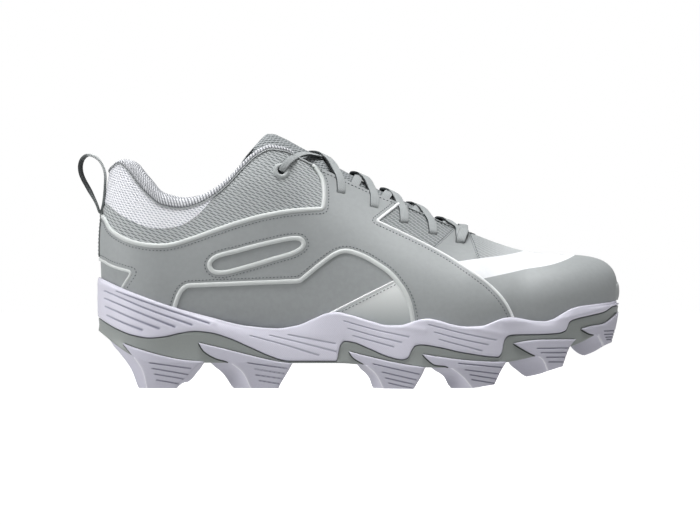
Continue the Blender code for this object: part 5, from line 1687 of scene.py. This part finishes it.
middle = np.array([x0 + 1.6, float(CENTRE(x0)), max(z0 + 9.2, tongue_top(x0 + 1.6, float(CENTRE(x0))) + 2.0)])
pts = ends[0][0] + [middle] + ends[1][0][::-1]
nrm = ends[0][1] + [np.array([0.1, 0, 1.0])] + ends[1][1][::-1]
P, Nn = smooth_path(pts, nrm)
flat_strip(laces, P, Nn, WIDTH, THICK)
lace_ob = laces.make("laces_woven", LACE, smooth=60)
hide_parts("laces")

# ------------------------------------------------------------ eyelets
for side in (-1, 1):
    c, n, s0 = slot_at[side, "eyelet"]
    u = np.array([1.0, 0, 0]) - n * n[0]
    u /= np.linalg.norm(u)
    v = np.cross(n, u)
    a = np.linspace(0, 2 * math.pi, 40, endpoint=False)
    d = u * np.cos(a)[:, None] + v * np.sin(a)[:, None]
    prof = [(1.95, -1.8), (1.9, 0.2), (2.05, 0.85), (2.45, 1.15), (3.1, 1.25), (3.75, 1.1), (4.25, 0.7), (4.4, 0.15), (4.35, -0.3)]
    rg = np.stack([c + d * r + n * h for r, h in prof], 1)
    ob = finish_mesh(f"grommet_{'lateral' if side < 0 else 'medial'}", rg.reshape(-1, 3), grid_faces(40, len(prof), wrap=True), GROMMET, smooth=60)
    recalc(ob)
    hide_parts(f"eyelet_{'lateral' if side < 0 else 'medial'}")

# ------------------------------------------------------------ pull loop
def web_look():
    k = Look("webbing_ribbed", lin("#6B706F"), 0.8)
    u, v = k.uv()
    rib = k.calc("PINGPONG", k.calc("DIVIDE", v, 0.45), 1.0)
    w = k.calc("PINGPONG", k.calc("DIVIDE", u, 0.5), 1.0)
    h = k.calc("MULTIPLY", rib, w)
    ground = k.mix(k.step(h, 0.0, 0.8), lin("#5D6262"), lin("#8C9191"))
    # painted shade on the stretch at u 36 to 62 (near-black) and painted highlight on the stretch at u 14 to 36 (pale)
    painted_shade_span = k.calc("MULTIPLY", k.step(u, 36.0, 41.0), k.step(u, 52.0, 62.0, 1.0, 0.0))
    painted_highlight_span = k.calc("MULTIPLY", k.step(u, 14.0, 26.0), k.step(u, 33.0, 36.0, 1.0, 0.0))
    ground = k.mix(k.calc("MULTIPLY", painted_shade_span, 0.85), ground, lin("#2C2F30"))
    k.base(k.mix(k.calc("MULTIPLY", painted_highlight_span, 0.8), ground, lin("#C4C8C8")))
    k.bump(h, 0.0002, 0.7)
    return k.mat


WEB = web_look()
LOOP = [(1.3, 90.6), (2.5, 94.2), (3.3, 99.4), (3.7, 105.0), (3.8, 110.0), (3.3, 113.0), (2.0, 116.1), (0.0, 118.7), (-2.6, 120.3), (-5.3, 120.7),
        (-7.8, 118.9), (-9.0, 115.5), (-8.8, 111.8), (-7.6, 108.4), (-5.5, 104.6), (-2.9, 99.8), (-0.6, 95.2), (0.6, 91.8)]
cl = evenly(bend([(x, 0.0, z) for x, z in LOOP], 8, closed=True), step=0.8, closed=True)
tg = tangents(cl, True)
nl = np.stack([tg[:, 2], 0 * tg[:, 0], -tg[:, 0]], 1)
web = Bag()
TURN = math.radians(10.0)  # the outer strand stands a little askew
prof = np.array([(-4.5, 0), (-4.35, 0.4), (-3.5, 0.55), (0, 0.55), (3.5, 0.55), (4.35, 0.4), (4.5, 0), (4.35, -0.4), (3.5, -0.55), (0, -0.55), (-3.5, -0.55), (-4.35, -0.4)])
ask = np.clip((cl[:, 2] - 92.0) / 10.0, 0, 1) * np.clip((1.0 - cl[:, 0]) / 5.0, 0.0, 1)
wide_dir = np.stack([np.sin(TURN * ask), np.cos(TURN * ask), 0 * ask], 1)
Vv = cl[:, None] + wide_dir[:, None] * prof[None, :, 0:1] + nl[:, None] * prof[None, :, 1:2] * 1.15
d = np.concatenate([[0], np.cumsum(np.linalg.norm(np.diff(cl, axis=0), axis=1))])
acr = np.array([0, 0.4, 1.2, 4.5, 8, 8.8, 9, 8.8, 8, 4.5, 1.2, 0.4])
web.add(Vv.reshape(-1, 3), ring_faces(len(cl), 12, True), np.stack(np.broadcast_arrays(d[:, None], acr[None]), -1).reshape(-1, 2))
# tail sewn down the heel
zt = np.linspace(92.5, 68.0, 34)
qs = np.linspace(0.2, 1, 200)
rz = section(0.0, qs)
xt = HEEL_AXIS[0] - np.interp(zt, rz[1], rz[0])
yy = np.linspace(-4.5, 4.5, 9)
Pq = np.zeros((34, 9, 3))
for i in range(34):
    rr = HEEL_AXIS[0] - xt[i]
    Pq[i, :, 0] = HEEL_AXIS[0] - np.sqrt(np.maximum(rr**2 - yy**2, 1)) - 1.45 - 0.5 * np.exp(-((zt[i] - 92.5) / 3.0) ** 2)
    Pq[i, :, 1] = yy
    Pq[i, :, 2] = zt[i]
back = Pq + np.array([1.2, 0, 0])
n0 = 34 * 9
fq = grid_faces(34, 9).tolist()
idx = np.arange(34 * 9).reshape(34, 9)
loop = np.concatenate([idx[0, :], idx[1:, -1], idx[-1, -2::-1], idx[-2:0:-1, 0]])
fq += [[int(loop[i]), int(loop[(i + 1) % len(loop)]), n0 + int(loop[(i + 1) % len(loop)]), n0 + int(loop[i])] for i in range(len(loop))]
uvq = np.stack(np.broadcast_arrays(zt[:, None] + 200.0, (yy + 4.5)[None]), -1).reshape(-1, 2)
web.add(np.vstack([Pq.reshape(-1, 3), back.reshape(-1, 3)]), fq, np.vstack([uvq, uvq]))
wob = web.make("pull_loop_web", WEB, smooth=50)
recalc(wob)
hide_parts("pull_loop")
tail_threads = Bag()
for path in ([(r, 0) for r in range(2, 32)], [(r, 8) for r in range(2, 32)], [(31, q) for q in range(9)], [(3, q) for q in range(9)]):
    pts = np.array([Pq[r, min(max(q, 1), 7)] for r, q in path])
    nn_ = np.stack([-np.ones(len(pts)), np.sign(pts[:, 1]) * 0.1, np.zeros(len(pts))], 1)
    nn_ /= np.linalg.norm(nn_, axis=1, keepdims=True)
    stitch_row(tail_threads, pts, nn_, False, 0.05, pitch=1.9, length=1.3, width=0.45)
tail_threads.make("pull_loop_stitches", Look("thread_pale", lin("#A9ADAD"), 0.7).mat)

# ------------------------------------------------------------ toe guard, insole
t = np.linspace(0, 1, 60)
sg = HALF - 10.0 + 48.0 * t
high = 46.9 + 9.0 * np.sin(np.pi * np.minimum(1.0, 0.18 + 0.82 * t)) ** 0.7
ax, ay, dx, dy = station(sg)
lowg = np.maximum(rim_z(ax + (wide_r(sg) + sole_w(sg)) * dx), FOOTBED(ax + foot_r(sg) * dx) + 1.6) + GAP
rows = []
for kz, out_ in ((0.0, 0.1), (0.0, 1.6), (0.25, 1.75), (0.5, 1.7), (0.75, 1.5), (0.9, 1.3), (0.97, 1.05), (1.0, 0.6), (0.99, 0.1)):
    zz = lowg + (high - lowg) * kz
    rr = radius_at(sg, zz[:, None])[:, 0]
    rows.append(place(sg, rr + out_ * np.clip(np.minimum(t, 1 - t) * 18, 0.25, 1), zz))
Pg = np.stack(rows, 1)
guard = finish_mesh("toe_guard_v", Pg.reshape(-1, 3), grid_faces(60, 9), skin_look("guard_grey", "#A9ADAD", 0.45, 0.03, 0.01, 0.5), smooth=60)
recalc(guard)
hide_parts("toe_guard")

sn = np.arange(306) * 2.0 * HALF / 306
ax, ay, dx, dy = station(sn)
r = foot_r(sn) - WALL - 0.7
kk = [1.0, 1.02, 0.98, 0.9, 0.8, 0.65, 0.5, 0.35, 0.2, 0.0]
hh = [0.3, INSOLE - 0.6, INSOLE + 0.1, INSOLE - 0.2, INSOLE - 0.5, INSOLE - 0.6, INSOLE - 0.6, INSOLE - 0.6, INSOLE - 0.6, INSOLE - 0.6]
Pn = np.stack([place(sn, r * a, FOOTBED(ax + r * a * dx) + b) for a, b in zip(kk, hh)], 1)
SOCK = mesh_look("sock_cloth", "#A5A8AA", "#888C8E", 1.6, 0.8, 0.0, 0.0001)
ins = finish_mesh("insole_cloth", Pn.reshape(-1, 3), grid_faces(306, 10, wrap=True), SOCK, smooth=60, uv=(Pn[..., :2]).reshape(-1, 2), weld=0.00001)
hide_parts("insole")


# ------------------------------------------------------------ floor, light, camera
def stage_mesh(name, verts, faces, look):
    me = bpy.data.meshes.new(name)
    me.from_pydata(verts, [], faces)
    me.materials.append(look)
    me.shade_smooth()
    ob = bpy.data.objects.new(name, me)
    bpy.context.scene.collection.objects.link(ob)
    return ob


floor_look = Look("floor_white", (0.6, 0.6, 0.6), 0.9)
floor_look.bsdf.inputs["Specular IOR Level"].default_value = 0.0
floor_look.bsdf.inputs["Emission Color"].default_value = (1, 1, 1, 1)
floor_look.bsdf.inputs["Emission Strength"].default_value = 0.95
wall_look = Look("backdrop_white", (0.0, 0.0, 0.0), 1.0)
wall_look.bsdf.inputs["Specular IOR Level"].default_value = 0.0
wall_look.bsdf.inputs["Emission Color"].default_value = (1, 1, 1, 1)
wall_look.bsdf.inputs["Emission Strength"].default_value = 1.0
ground = stage_mesh("floor", [(-9, -9, 0), (9, -9, 0), (9, 9, 0), (-9, 9, 0)], [(0, 1, 2, 3)], floor_look.mat)
ring = [(9 * math.cos(a), 9 * math.sin(a)) for a in np.linspace(0, 2 * math.pi, 48, endpoint=False)]
wall = stage_mesh("backdrop", [(x, y, z) for x, y in ring for z in (-0.2, 9.0)],
                  [(2 * i, 2 * ((i + 1) % 48), 2 * ((i + 1) % 48) + 1, 2 * i + 1) for i in range(48)], wall_look.mat)
for ob in (ground, wall):
    ob.visible_diffuse = ob.visible_glossy = False
wall.visible_shadow = False


def lamp(name, where, aim, size, power, size_y=None):
    li = bpy.data.lights.new(name, "AREA")
    li.shape = "RECTANGLE"
    li.size, li.size_y = size, size_y or size
    li.energy = power
    ob = bpy.data.objects.new(name, li)
    ob.location = where
    ob.rotation_euler = (Vector(aim) - Vector(where)).to_track_quat("-Z", "Y").to_euler()
    bpy.context.scene.collection.objects.link(ob)
    return ob


lamp("top", (0.0, -0.2, 1.4), (0.0, 0.0, 0.06), 0.8, 25.0)
lamp("left", (-1.4, -0.38, 0.45), (0.0, 0.0, 0.06), 0.7, 10.5)
lamp("back", (-0.7, 0.9, 1.0), (0.0, 0.0, 0.06), 0.8, 3.0)

world = bpy.data.worlds.new("pale")
world.use_nodes = True
wt = world.node_tree
sky = wt.nodes["Background"]
sky.inputs["Color"].default_value = (1.0, 1.0, 1.0, 1)
co, sp_, mr = (wt.nodes.new(k) for k in ("ShaderNodeTexCoord", "ShaderNodeSeparateXYZ", "ShaderNodeMapRange"))
wt.links.new(co.outputs[0], sp_.inputs[0])
wt.links.new(sp_.outputs[2], mr.inputs[0])
for i, v in ((1, -0.4), (2, 0.7), (3, 0.7), (4, 0.08)):
    mr.inputs[i].default_value = v
wt.links.new(mr.outputs[0], sky.inputs["Strength"])
bpy.context.scene.world = world
bpy.context.scene.view_settings.view_transform = "Standard"

cam = bpy.data.cameras.new("camera")
cam.sensor_width, cam.lens = 36.0, 600.0
cam.clip_end = 40.0
view = bpy.data.objects.new("camera", cam)
DISTANCE = 0.0005163 * 700 * cam.lens / 36.0
view.location = (side_x(350.0) * 0.001 - 0.130, -DISTANCE - 0.022, side_z(262.5) * 0.001)
view.rotation_euler = (math.pi / 2, 0, 0)
bpy.context.scene.collection.objects.link(view)
bpy.context.scene.camera = view
